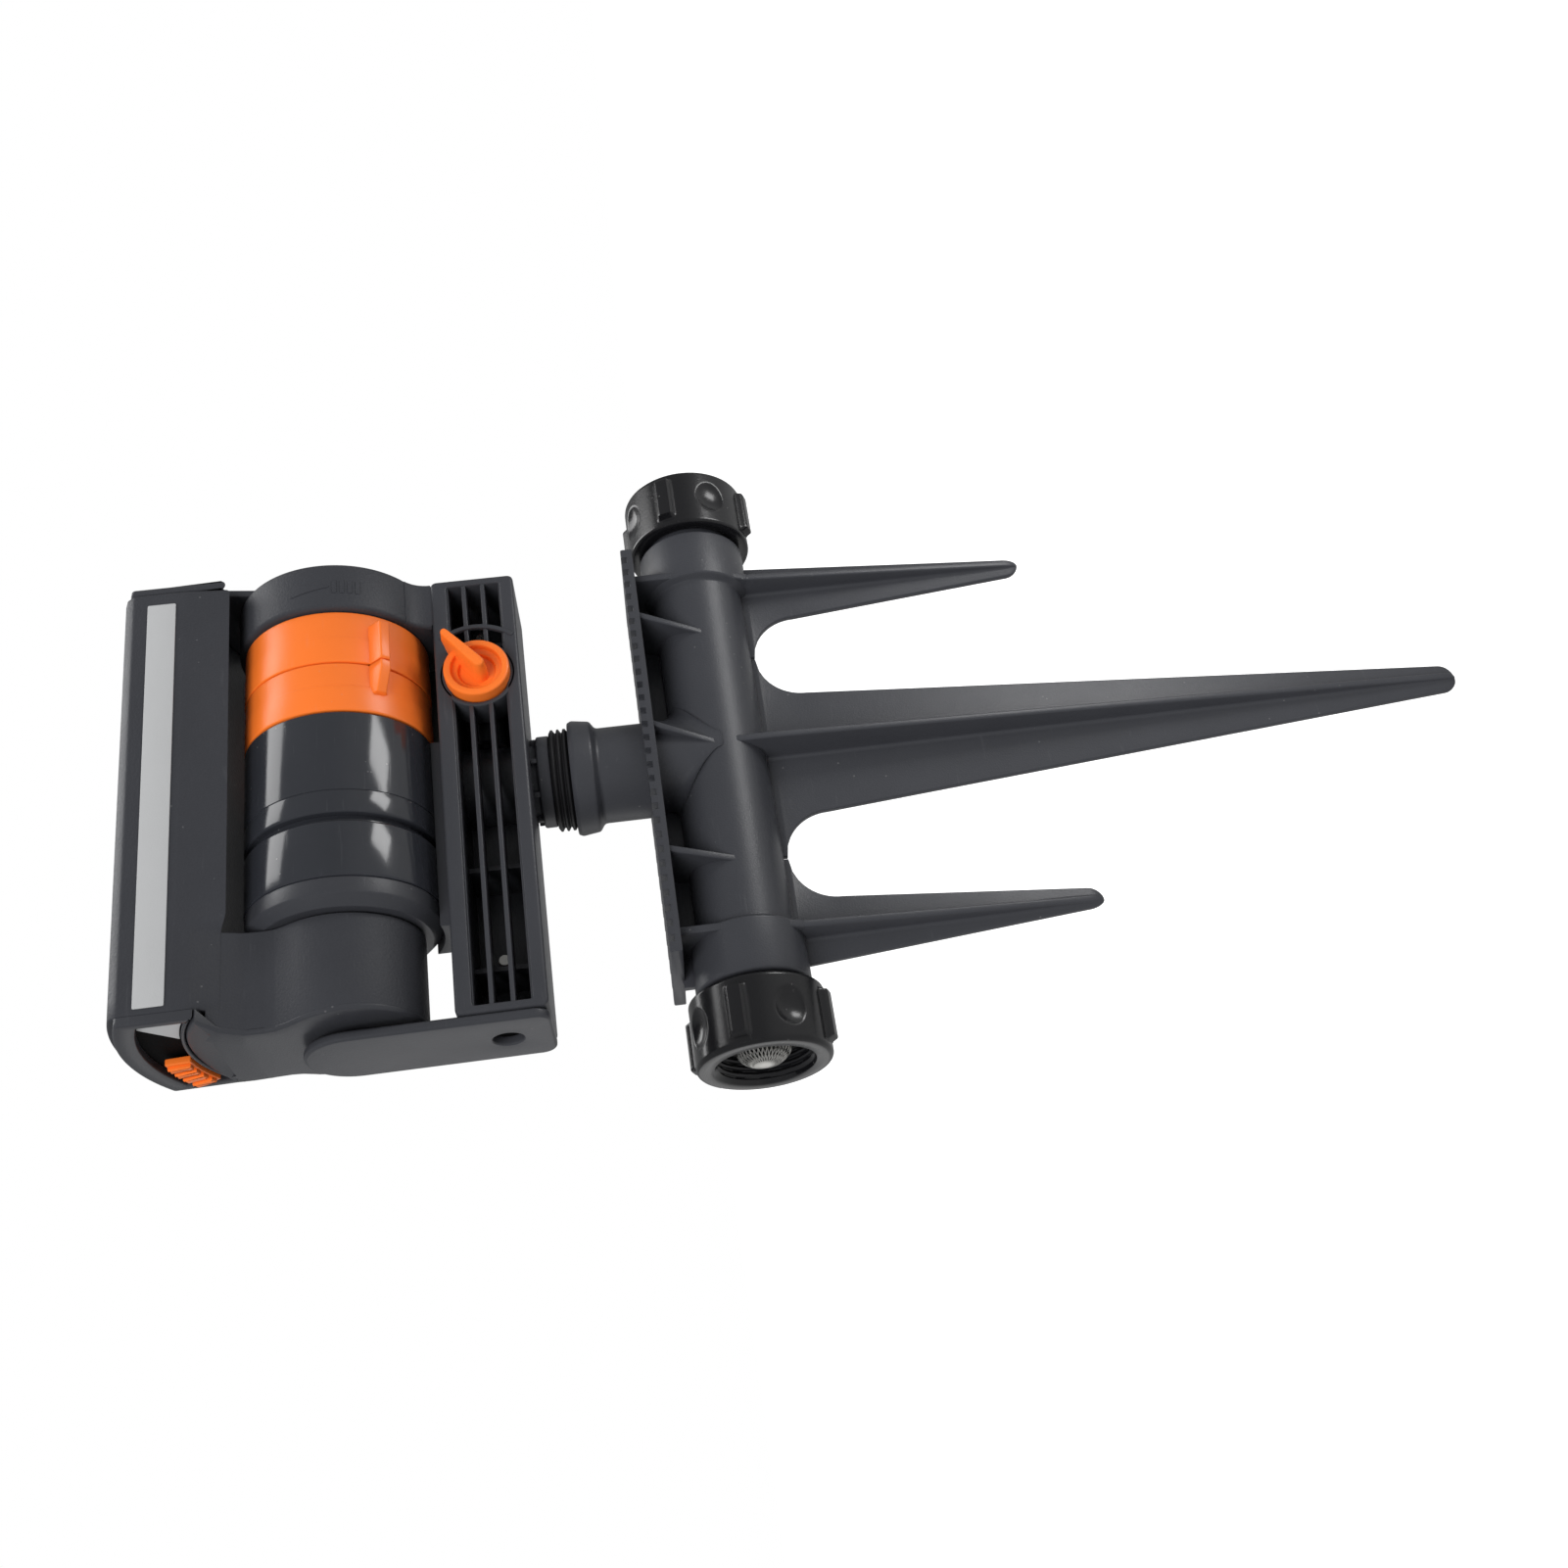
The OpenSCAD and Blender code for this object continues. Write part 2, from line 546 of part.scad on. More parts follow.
// Finger slide that turns about the drum axis in the near end's curved slot.
module width_slider() color([1, 0.49, 0.2]) spin_drum(-slider_at) difference() {
    union() {
        xprism(-71.4, -60) at_drum() slot_sector(40, 46.9, 10.7);
        for (i = [-1.5 : 1 : 1.5]) xprism(-72.4, -71.3) at_drum() rotate(i * 5)
            polygon([[-0.7, 40.4], [0.7, 40.4], [0.7, 46.8], [-0.7, 46.8]]);
    }
    xprism(-80, -50) at_drum() circle(39.9);
}
module slot_sector(r0, r1, half) difference() {
    intersection() {
        circle(r1, $fn = 160);
        polygon([[0, 0], [-r1 * 1.5 * sin(half), r1 * 1.5 * cos(half)],
            [r1 * 1.5 * sin(half), r1 * 1.5 * cos(half)]]);
    }
    circle(r0, $fn = 160);
}
module width_shutter() color([0.8, 0.8, 0.8]) spin_drum(-slider_at)
    xprism(-59.98, 50) at_drum() slot_sector(45.6, 46.9, 9);

cross_tube();
stem_socket();
step_plate();
plate_ribs();
spike_centre();
spike_far();
spike_near();
hose_nut();
hose_washer();
filter_mesh();
filter_rim();
end_cap();
cap_washer();
chassis();
near_arm();
far_housing();
inlet_spigot();
stem_rings();
spigot_oring();
valve_body();
flow_knob();
knob_spindle();
flow_scale();
chassis_screws();
gear_housing();
gearbox_cover();
drum_flange();
range_ring_far();
range_ring_near();
turbine_wheel();
reduction_gear();
drive_shaft();
bearing_plate();
jet_ring();
nozzle_shell();
nozzle_neck();
near_face();
slot_frame();
far_plate();
trim_strip();
nozzle_plate();
spray_nozzles();
pivot_cap();
width_slider();
width_shutter();
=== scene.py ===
"""Oscillating drum sprinkler on a step spike: visible surfaces, finishes, light and camera.

All shapes are written in millimetres in the part's own frame and scaled once, when a mesh is made.
u is the distance behind the drum axis and v the height over it; x runs along the drum.
"""

import math

import bmesh
import bpy
import numpy as np
from bpy.props import FloatProperty, FloatVectorProperty, IntProperty, PointerProperty
from mathutils import Matrix, Vector


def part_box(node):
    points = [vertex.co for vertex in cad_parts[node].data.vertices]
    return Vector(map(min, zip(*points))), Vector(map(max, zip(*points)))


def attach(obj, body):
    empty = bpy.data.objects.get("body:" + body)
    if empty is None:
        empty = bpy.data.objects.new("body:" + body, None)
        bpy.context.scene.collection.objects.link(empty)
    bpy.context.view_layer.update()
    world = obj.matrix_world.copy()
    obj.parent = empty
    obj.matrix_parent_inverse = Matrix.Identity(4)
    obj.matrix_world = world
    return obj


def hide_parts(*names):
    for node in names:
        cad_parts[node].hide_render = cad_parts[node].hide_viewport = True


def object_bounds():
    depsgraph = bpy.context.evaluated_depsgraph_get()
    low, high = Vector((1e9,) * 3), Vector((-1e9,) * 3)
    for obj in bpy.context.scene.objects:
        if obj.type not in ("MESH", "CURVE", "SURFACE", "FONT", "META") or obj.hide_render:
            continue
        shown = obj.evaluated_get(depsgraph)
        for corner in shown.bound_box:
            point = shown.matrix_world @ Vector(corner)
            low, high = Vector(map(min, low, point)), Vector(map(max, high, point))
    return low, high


bl_info = {
    "name": "Drum sprinkler",
    "version": (1, 0, 0),
    "blender": (4, 5, 0),
    "location": "View3D > Sidebar > Sprinkler",
    "description": "Builds the visible pieces of an oscillating drum sprinkler around its packed frame",
    "category": "Add Mesh",
}

MM = 0.001
TURN = 2.0 * math.pi

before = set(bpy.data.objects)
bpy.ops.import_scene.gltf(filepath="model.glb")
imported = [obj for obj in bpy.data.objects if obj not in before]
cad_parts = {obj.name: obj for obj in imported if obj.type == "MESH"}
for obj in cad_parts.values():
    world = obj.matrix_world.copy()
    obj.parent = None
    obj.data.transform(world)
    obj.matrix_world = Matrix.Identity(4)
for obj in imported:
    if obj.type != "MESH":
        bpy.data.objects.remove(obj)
cad_box = [list(corner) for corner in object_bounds()]


def box_mm(node):
    """Lowest and highest corner of a CAD node, in millimetres."""
    low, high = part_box(node)
    return np.array(low) / MM, np.array(high) / MM


def centre_mm(node):
    """Middle of a CAD node's box, in millimetres."""
    low, high = box_mm(node)
    return (low + high) / 2


DRUM = centre_mm("gear_housing")
TUBE_Z = float(centre_mm("cap_washer")[2])
KNOB = centre_mm("knob_spindle")
PLATE_LOW, PLATE_HIGH = box_mm("step_plate")
TIP_Z = float(box_mm("spike_centre")[0][2])
HEAD_TOP = 90.5  # top of the chassis under the drum, mm
FLOOR_Z = cad_box[0][2] - 0.0004
SHOULDER_Z = -12.4  # where a spike's web starts to flare towards the tube
SIDE_X = 56.5  # middle of the side spikes and their bosses
NUT_START, NUT_LENGTH = 72.2, 18.8
THREAD_R, THREAD_PITCH, THREAD_DEPTH = 12.7, 1.814, 0.42
FILTER_X = -79.95  # where the thimble leaves its rim
ARM_HOLE_Z, ARM_HOLE_R = 78.9, 3.9
TAB_TURN = math.radians(125)  # from the top of the drum to the range rings' tabs
LEVER_TURN = math.radians(51)  # from the vertical to the flow lever
SLIDER_AT = -16.0  # degrees from the top of the drum to the middle of the slider
NOZZLE_COUNT, NOZZLE_START, NOZZLE_SPAN = 18, -55.6, 100.0

# Camera: where it stands in metres, where it looks and which way its picture's right-hand side points.
CAMERA_PLACE = (-0.24472883, -0.42107834, 0.04315132)
CAMERA_FORWARD = (0.48585752, 0.86911652, -0.09262265)
CAMERA_ACROSS = (-0.14571985, -0.02394163, -0.98903616)
CAMERA_SENSOR_MM, CAMERA_LENS_MM = 36.0, 39.707258


# ---------------------------------------------------------------- properties
def length(name, about, default, low, high):
    """Property that holds a length in metres."""
    return FloatProperty(name=name, description=about, default=default, min=low, max=high, unit="LENGTH")


def colour(name, about, default):
    """Property that holds a colour."""
    return FloatVectorProperty(name=name, description=about, default=default, size=3, min=0, max=1,
                               subtype="COLOR")


class SprinklerSizes(bpy.types.PropertyGroup):
    """Sizes that a user would change first."""

    drum_radius: length("Drum radius", "Outer radius of the drum sections",
                        float(box_mm("gear_housing")[1][2] - DRUM[2]) * MM, 0.02, 0.03)
    tube_radius: length("Tube radius", "Outer radius of the cross tube", 0.0132, 0.01, 0.016)
    nut_radius: length("Nut radius", "Outer radius of the hose nut between its lugs", 0.0179, 0.016, 0.02)
    edge_round: length("Edge rounding", "Radius on the moulded edges of the head", 0.0009, 0.0001, 0.002)
    wire_radius: length("Wire radius", "Radius of the filter's woven wire", 0.00014, 0.00005, 0.0003)
    wire_count: IntProperty(
        name="Wires each way", description="Number of filter wires that lean each way",
        default=34, min=12, max=90)


class SprinklerLooks(bpy.types.PropertyGroup):
    """Colours and surface texture that a user would change first."""

    anthracite: colour("Anthracite", "Colour of the grained body plastic", (0.040, 0.0415, 0.048))
    drum: colour("Drum", "Colour of the polished drum sections", (0.026, 0.028, 0.034))
    black: colour("Black", "Colour of the hose nut and the end cap", (0.006, 0.006, 0.007))
    orange: colour("Orange", "Colour of the parts that are set by hand", (0.92, 0.19, 0.025))
    light_grey: colour("Light grey", "Colour of the trim strip and the shutter", (0.47, 0.475, 0.48))
    grain_depth: length("Grain depth", "Depth of the leather-like grain on the body plastic",
                        0.00006, 0, 0.0003)
    roughness: FloatProperty(
        name="Body roughness", description="Roughness of the grained body plastic",
        default=0.52, min=0, max=1, subtype="FACTOR")
    key_light: FloatProperty(
        name="Key light", description="Strength of the large soft light",
        default=6.0, min=0, max=50)


def sizes():
    return bpy.context.scene.sprinkler_sizes


def looks():
    return bpy.context.scene.sprinkler_looks


# ---------------------------------------------------------------- outlines and surfaces
def rounded(points, radius, steps=4, closed=True):
    """Outline whose every corner is an arc tangent to its two sides: centre on the bisector,
    and the points between the two tangent points by spherical interpolation."""
    p = np.asarray(points, float)
    radius = np.broadcast_to(np.asarray(radius, float), len(p))
    a, b = np.roll(p, 1, 0) - p, np.roll(p, -1, 0) - p
    la, lb = np.linalg.norm(a, axis=1), np.linalg.norm(b, axis=1)
    a, b = a / la[:, None], b / lb[:, None]
    half = np.arccos(np.clip((a * b).sum(1), -0.999999, 0.999999)) / 2
    cut = np.minimum(np.maximum(radius, 0.004) / np.tan(half), 0.49 * np.minimum(la, lb))
    r = cut * np.tan(half)
    bisector = (a + b) / np.linalg.norm(a + b, axis=1)[:, None]
    centre = p + bisector * (r / np.sin(half))[:, None]
    start, end = p + a * cut[:, None] - centre, p + b * cut[:, None] - centre
    angle = (math.pi - 2 * half)[:, None]
    t = np.linspace(0, 1, steps + 1)[None]
    w0 = np.sin((1 - t) * angle) / np.sin(angle)
    w1 = np.sin(t * angle) / np.sin(angle)
    arcs = centre[:, None] + start[:, None] * w0[..., None] + end[:, None] * w1[..., None]
    if closed:
        return arcs.reshape(-1, 2)
    return np.concatenate([p[:1], arcs[1:-1].reshape(-1, 2), p[-1:]])


def counter_clockwise(outline):
    """The outline, turned round if it runs clockwise."""
    q = np.roll(outline, -1, 0)
    area = (outline[:, 0] * q[:, 1] - q[:, 0] * outline[:, 1]).sum()
    return outline if area > 0 else outline[::-1]


def inset(outline, depth):
    """Closed counter-clockwise outline moved inwards by depth along its mitred normals."""
    side = np.roll(outline, -1, 0) - outline
    side = side / np.maximum(np.linalg.norm(side, axis=1), 1e-9)[:, None]
    out = np.stack([side[:, 1], -side[:, 0]], 1)
    back = np.roll(out, 1, 0)
    mitre = (out + back) / np.maximum(1 + (out * back).sum(1), 0.25)[:, None]
    return outline - mitre * depth


def arc(radius, start, end, count, centre=(0, 0)):
    """Points on a circle; the angles are in degrees from +v towards -u."""
    t = np.radians(np.linspace(start, end, count))
    return np.stack([centre[0] - radius * np.sin(t), centre[1] + radius * np.cos(t)], 1)


def smooth_step(t):
    """0 below 0, 1 above 1, and 3t^2 - 2t^3 between."""
    t = np.clip(t, 0, 1)
    return t * t * (3 - 2 * t)


def grid(points, close_u=False, close_v=True, cap_low=False, cap_high=False):
    """Quads between neighbouring rows and columns of a (rows, columns, 3) array of points."""
    rows, cols = points.shape[:2]
    index = np.arange(rows * cols).reshape(rows, cols)
    below = index if close_u else index[:-1]
    above = np.roll(index, -1, 0) if close_u else index[1:]
    if close_v:
        quads = np.stack([below, np.roll(below, -1, 1), np.roll(above, -1, 1), above], -1)
    else:
        quads = np.stack([below[:, :-1], below[:, 1:], above[:, 1:], above[:, :-1]], -1)
    faces = quads.reshape(-1, 4).tolist()
    if cap_low:
        faces.append(index[0, ::-1].tolist())
    if cap_high:
        faces.append(index[-1].tolist())
    return points.reshape(-1, 3), faces


def placed(uv, w, axis):
    """(first, second) outline coordinates and the travel w as x, y, z."""
    u, v = uv[..., 0], uv[..., 1]
    w = np.broadcast_to(w, u.shape)
    return np.stack({"x": (w, u, v), "y": (u, w, v), "z": (u, v, w)}[axis], -1)


def slab(outline, low, high, edge, axis="x", hole=None, steps=4):
    """Outline carried from low to high. Near each end it draws in by edge (1 - sin t) at the depth
    edge (1 - cos t), t from 0 to a right angle, which rounds both rims."""
    outline = counter_clockwise(np.asarray(outline, float))
    t = np.linspace(0, math.pi / 2, steps + 1)
    drop, draw = edge * (1 - np.cos(t)), edge * (1 - np.sin(t))
    level = np.concatenate([low + drop, high - drop[::-1]])
    depth = np.concatenate([draw, draw[::-1]])
    rings = np.stack([inset(outline, d) for d in depth])
    w = level[:, None] + np.zeros(len(outline))
    if hole is None:
        return grid(placed(rings, w, axis), cap_low=True, cap_high=True)
    hole = counter_clockwise(np.asarray(hole, float))
    inner = np.stack([inset(hole, -d * 0.5) for d in depth])[::-1]
    points = np.concatenate([placed(rings, w, axis), placed(inner, w[::-1], axis)])
    return grid(points, close_u=True)


def dense(outline, step=1.2):
    """Closed outline with points added so that no side is longer than step."""
    ahead = np.roll(outline, -1, 0)
    counts = np.maximum(np.ceil(np.linalg.norm(ahead - outline, axis=1) / step).astype(int), 1)
    return np.concatenate([a + (b - a) * np.arange(n)[:, None] / n
                           for a, b, n in zip(outline, ahead, counts)])


def round_hole(outline, centre, radius):
    """Circle with one point in the direction of each point of the outline around it."""
    away = counter_clockwise(np.asarray(outline, float)) - np.asarray(centre)
    return np.asarray(centre) + away / np.linalg.norm(away, axis=1)[:, None] * radius


def revolve(profile, centre=(0, 0, 0), axis="x", count=128, wave=None):
    """(travel, radius) profile turned about an axis; wave(travel, radius, angle) may change the radius."""
    profile = np.asarray(profile, float)
    angle = np.linspace(0, TURN, count, endpoint=False)[None]
    travel, radius = profile[:, :1], np.broadcast_to(profile[:, 1:], (len(profile), count))
    if wave is not None:
        radius = wave(travel, radius, angle)
    uv = np.stack([radius * np.cos(angle), radius * np.sin(angle)], -1)
    points = placed(uv, travel, axis) + np.asarray(centre, float)
    return grid(points, close_u=True)


def block(low, high, edge, axis="x", corner=None):
    """Box with rounded rims and corners, as a slab of a rounded rectangle."""
    low, high = np.asarray(low, float), np.asarray(high, float)
    keep = {"x": (1, 2), "y": (0, 2), "z": (0, 1)}[axis]
    a, b = low[list(keep)], high[list(keep)]
    outline = rounded([a, (b[0], a[1]), b, (a[0], b[1])], edge if corner is None else corner, 3)
    way = "xyz".index(axis)
    return slab(outline, low[way], high[way], edge, axis, steps=3)


def about_drum(outline):
    """(u, v) outline about the drum axis as (y, z)."""
    return np.asarray(outline, float) + DRUM[1:]


def drum_ring(outline, travel):
    """(u, v) outline about the drum axis as x, y, z at a travel along the drum."""
    return placed(about_drum(outline), travel, "x")


def drum_slab(outline, low, high, edge, **more):
    """Slab along the drum from a (u, v) outline about its axis."""
    return slab(about_drum(outline), low, high, edge, **more)


def drum_turned(profile, rim, count=192):
    """Closed (travel, radius) profile with rounded corners, turned about the drum axis."""
    return revolve(rounded(profile, rim, 4), DRUM * (0, 1, 1), count=count)


def two_arc_rims(count, outer, inner):
    """Corner radii for an outline of two arcs of count points each: next to nothing along the arcs,
    outer at the ends of the first arc and inner at the ends of the second."""
    rim = np.full(2 * count, 0.01)
    rim[[0, count - 1]], rim[[count, 2 * count - 1]] = outer, inner
    return rim


# ---------------------------------------------------------------- pieces
def piece(name, patches, body, nodes, finish, sharp=40.0):
    """One object from its patches: doubles merged, faces pointing out, rims kept crisp."""
    verts, faces, start = [], [], 0
    for points, quads in patches:
        verts.append(points)
        faces += [[i + start for i in q] for q in quads]
        start += len(points)
    mesh = bpy.data.meshes.new(name)
    mesh.from_pydata((np.concatenate(verts) * MM).tolist(), [], faces)
    bm = bmesh.new()
    bm.from_mesh(mesh)
    bmesh.ops.remove_doubles(bm, verts=bm.verts, dist=2e-7)
    bmesh.ops.dissolve_degenerate(bm, edges=bm.edges, dist=1e-7)
    bmesh.ops.recalc_face_normals(bm, faces=bm.faces)
    bm.to_mesh(mesh)
    bm.free()
    mesh.shade_smooth()
    mesh.set_sharp_from_angle(angle=math.radians(sharp))
    mesh.materials.append(material(finish))
    obj = bpy.data.objects.new(name, mesh)
    bpy.context.scene.collection.objects.link(obj)
    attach(obj, body)
    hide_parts(*nodes)
    return obj


def refinish(nodes, finish):
    """A procedural finish on CAD nodes that are shown as they are."""
    for node in nodes:
        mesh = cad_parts[node].data
        mesh.materials.clear()
        mesh.materials.append(material(finish))


# ---------------------------------------------------------------- finishes
def node_group(name, inputs, outputs):
    """Empty shader group with its named sockets."""
    tree = bpy.data.node_groups.new(name, "ShaderNodeTree")
    for kind, label, default in inputs:
        socket = tree.interface.new_socket(name=label, in_out="INPUT", socket_type="NodeSocket" + kind)
        if default is not None:
            socket.default_value = default
    for kind, label in outputs:
        tree.interface.new_socket(name=label, in_out="OUTPUT", socket_type="NodeSocket" + kind)
    return tree, tree.nodes.new("NodeGroupInput").outputs, tree.nodes.new("NodeGroupOutput").inputs


def add(tree, kind, links=(), **values):
    """A node with the given properties and socket values, and its input links."""
    node = tree.nodes.new("ShaderNode" + kind)
    for key, value in values.items():
        if hasattr(node, key):
            setattr(node, key, value)
        else:
            node.inputs[key.replace("_", " ")].default_value = value
    for socket, source in dict(links).items():
        tree.links.new(source, node.inputs[socket])
    return node


def math_node(tree, operation, a, b, clamp=False):
    """a (operation) b, where each is a socket or a number."""
    node = tree.nodes.new("ShaderNodeMath")
    node.operation, node.use_clamp = operation, clamp
    for i, value in enumerate((a, b)):
        if isinstance(value, (int, float)):
            node.inputs[i].default_value = value
        else:
            tree.links.new(value, node.inputs[i])
    return node.outputs[0]


def blend_colour(tree, factor, a, b):
    """Colour a mixed with colour b by factor."""
    node = tree.nodes.new("ShaderNodeMix")
    node.data_type = "RGBA"
    for socket, value in ((node.inputs[0], factor), (node.inputs[6], a), (node.inputs[7], b)):
        if hasattr(value, "is_linked"):
            tree.links.new(value, socket)
        else:
            socket.default_value = value
    return node.outputs[2]


def moulded_surface():
    """Group: cloudy tone, fine grain, flow streaks, faint scuffs and dust of a moulded plastic."""
    name = "moulded_surface"
    if name in bpy.data.node_groups:
        return bpy.data.node_groups[name]
    tree, given, out = node_group(name, (
        ("Vector", "Vector", None), ("Color", "Tint", (0.1, 0.1, 0.1, 1)), ("Float", "Mottle", 0.15),
        ("Float", "Grain Scale", 1800.0), ("Float", "Grain", 1.0), ("Float", "Roughness", 0.4),
        ("Float", "Spread", 0.1), ("Float", "Scuffs", 0.2), ("Float", "Dust", 0.2)),
        (("Color", "Color"), ("Float", "Roughness"), ("Float", "Height")))
    at = given["Vector"]
    cloud = add(tree, "TexNoise", {"Vector": at}, Scale=38.0, Detail=4.0, Roughness=0.55).outputs[0]
    fine = add(tree, "TexNoise", {"Vector": at, "Scale": given["Grain Scale"]},
               Detail=3.0, Roughness=0.6).outputs[0]
    cells = add(tree, "TexVoronoi", {"Vector": at, "Scale": given["Grain Scale"]},
                feature="SMOOTH_F1", Smoothness=0.6).outputs["Distance"]
    stretch = add(tree, "Mapping", {"Vector": at}, Scale=(90.0, 1400.0, 900.0), Rotation=(0.3, 0.2, 0.5))
    lines = add(tree, "TexNoise", {"Vector": stretch.outputs[0]}, Scale=1.0, Detail=2.0,
                Distortion=0.4).outputs[0]
    scuff = math_node(tree, "MULTIPLY", math_node(tree, "SUBTRACT", lines, 0.66, True),
                      math_node(tree, "MULTIPLY", given["Scuffs"], 9.0), True)
    specks = add(tree, "TexVoronoi", {"Vector": at}, Scale=260.0, Randomness=1.0).outputs["Distance"]
    patch = add(tree, "TexNoise", {"Vector": at}, Scale=55.0, Detail=1.0).outputs[0]
    speck = math_node(tree, "MULTIPLY", math_node(tree, "LESS_THAN", specks, 0.07),
                      math_node(tree, "GREATER_THAN", patch, 0.56))
    dust = math_node(tree, "MULTIPLY", speck, given["Dust"], True)
    shade = math_node(tree, "MULTIPLY", math_node(tree, "SUBTRACT", cloud, 0.5), given["Mottle"])
    shade = math_node(tree, "ADD", shade, 1.0)
    toned = add(tree, "VectorMath", {0: given["Tint"]}, operation="SCALE")
    tree.links.new(shade, toned.inputs["Scale"])
    worn = blend_colour(tree, math_node(tree, "MULTIPLY", scuff, 0.12), toned.outputs[0],
                        (0.35, 0.35, 0.36, 1))
    tree.links.new(blend_colour(tree, dust, worn, (0.42, 0.42, 0.41, 1)), out["Color"])
    rough = math_node(tree, "MULTIPLY", math_node(tree, "SUBTRACT", cloud, 0.5), given["Spread"])
    rough = math_node(tree, "ADD", rough, given["Roughness"])
    rough = math_node(tree, "ADD", rough, math_node(tree, "MULTIPLY", scuff, 0.2), True)
    tree.links.new(rough, out["Roughness"])
    height = math_node(tree, "MULTIPLY", math_node(tree, "ADD", fine, cells), given["Grain"])
    height = math_node(tree, "SUBTRACT", height, math_node(tree, "MULTIPLY", scuff, 0.3))
    tree.links.new(height, out["Height"])
    return tree


# tint property or colour, roughness, spread, mottle, grain scale, grain, scuffs, dust, metal, specular
FINISHES = {
    "anthracite": ("anthracite", None, 0.16, 0.28, 1500.0, 1.0, 0.25, 0.15, 0.0, 0.3),
    "anthracite_smooth": ("anthracite", 0.38, 0.14, 0.25, 2200.0, 0.3, 0.25, 0.15, 0.0, 0.4),
    "drum_gloss": ("drum", 0.13, 0.12, 0.35, 900.0, 0.05, 0.25, 0.15, 0.0, 0.5),
    "black_gloss": ("black", 0.22, 0.12, 0.3, 1500.0, 0.12, 0.25, 0.12, 0.0, 0.5),
    "orange": ("orange", 0.33, 0.1, 0.10, 2400.0, 0.2, 0.3, 0.1, 0.0, 0.4),
    "light_grey": ("light_grey", 0.38, 0.1, 0.08, 2400.0, 0.25, 0.4, 0.1, 0.0, 0.4),
    "rubber": ((0.012, 0.012, 0.013), 0.48, 0.1, 0.3, 1800.0, 0.4, 0.2, 0.4, 0.0, 0.3),
    "stainless": ((0.62, 0.61, 0.58), 0.28, 0.12, 0.2, 3000.0, 0.3, 0.5, 0.0, 1.0, 0.5),
    "gear_plastic": ((0.62, 0.62, 0.59), 0.36, 0.1, 0.08, 2000.0, 0.3, 0.2, 0.1, 0.0, 0.5),
    "deep_shade": ((0.0025, 0.0025, 0.0027), 0.8, 0.1, 0.3, 1800.0, 0.3, 0.0, 0.0, 0.0, 0.1),
    "dark_plastic": ((0.02, 0.021, 0.024), 0.35, 0.1, 0.2, 1800.0, 0.4, 0.3, 0.2, 0.0, 0.4),
}


def material(name):
    """The finish of that name, made the first time it is asked for."""
    label = "finish_" + name
    if label in bpy.data.materials:
        return bpy.data.materials[label]
    tint, rough, spread, mottle, grain_scale, grain, scuffs, dust, metal, specular = FINISHES[name]
    if isinstance(tint, str):
        tint = getattr(looks(), tint)
    mat = bpy.data.materials.new(label)
    mat.use_nodes = True
    tree = mat.node_tree
    shader = tree.nodes["Principled BSDF"]
    where = tree.nodes.new("ShaderNodeTexCoord")
    surface = tree.nodes.new("ShaderNodeGroup")
    surface.node_tree = moulded_surface()
    tree.links.new(where.outputs["Object"], surface.inputs["Vector"])
    surface.inputs["Tint"].default_value = (*tint, 1)
    for socket, value in (("Roughness", looks().roughness if rough is None else rough), ("Spread", spread),
                          ("Mottle", mottle), ("Grain Scale", grain_scale), ("Grain", grain),
                          ("Scuffs", scuffs), ("Dust", dust)):
        surface.inputs[socket].default_value = value
    bump = add(tree, "Bump", {"Height": surface.outputs["Height"]},
               Strength=1.0, Distance=looks().grain_depth)
    tree.links.new(surface.outputs["Color"], shader.inputs["Base Color"])
    tree.links.new(surface.outputs["Roughness"], shader.inputs["Roughness"])
    tree.links.new(bump.outputs[0], shader.inputs["Normal"])
    shader.inputs["Metallic"].default_value = metal
    shader.inputs["Specular IOR Level"].default_value = specular
    mat.diffuse_color = (*tint, 1)
    return mat


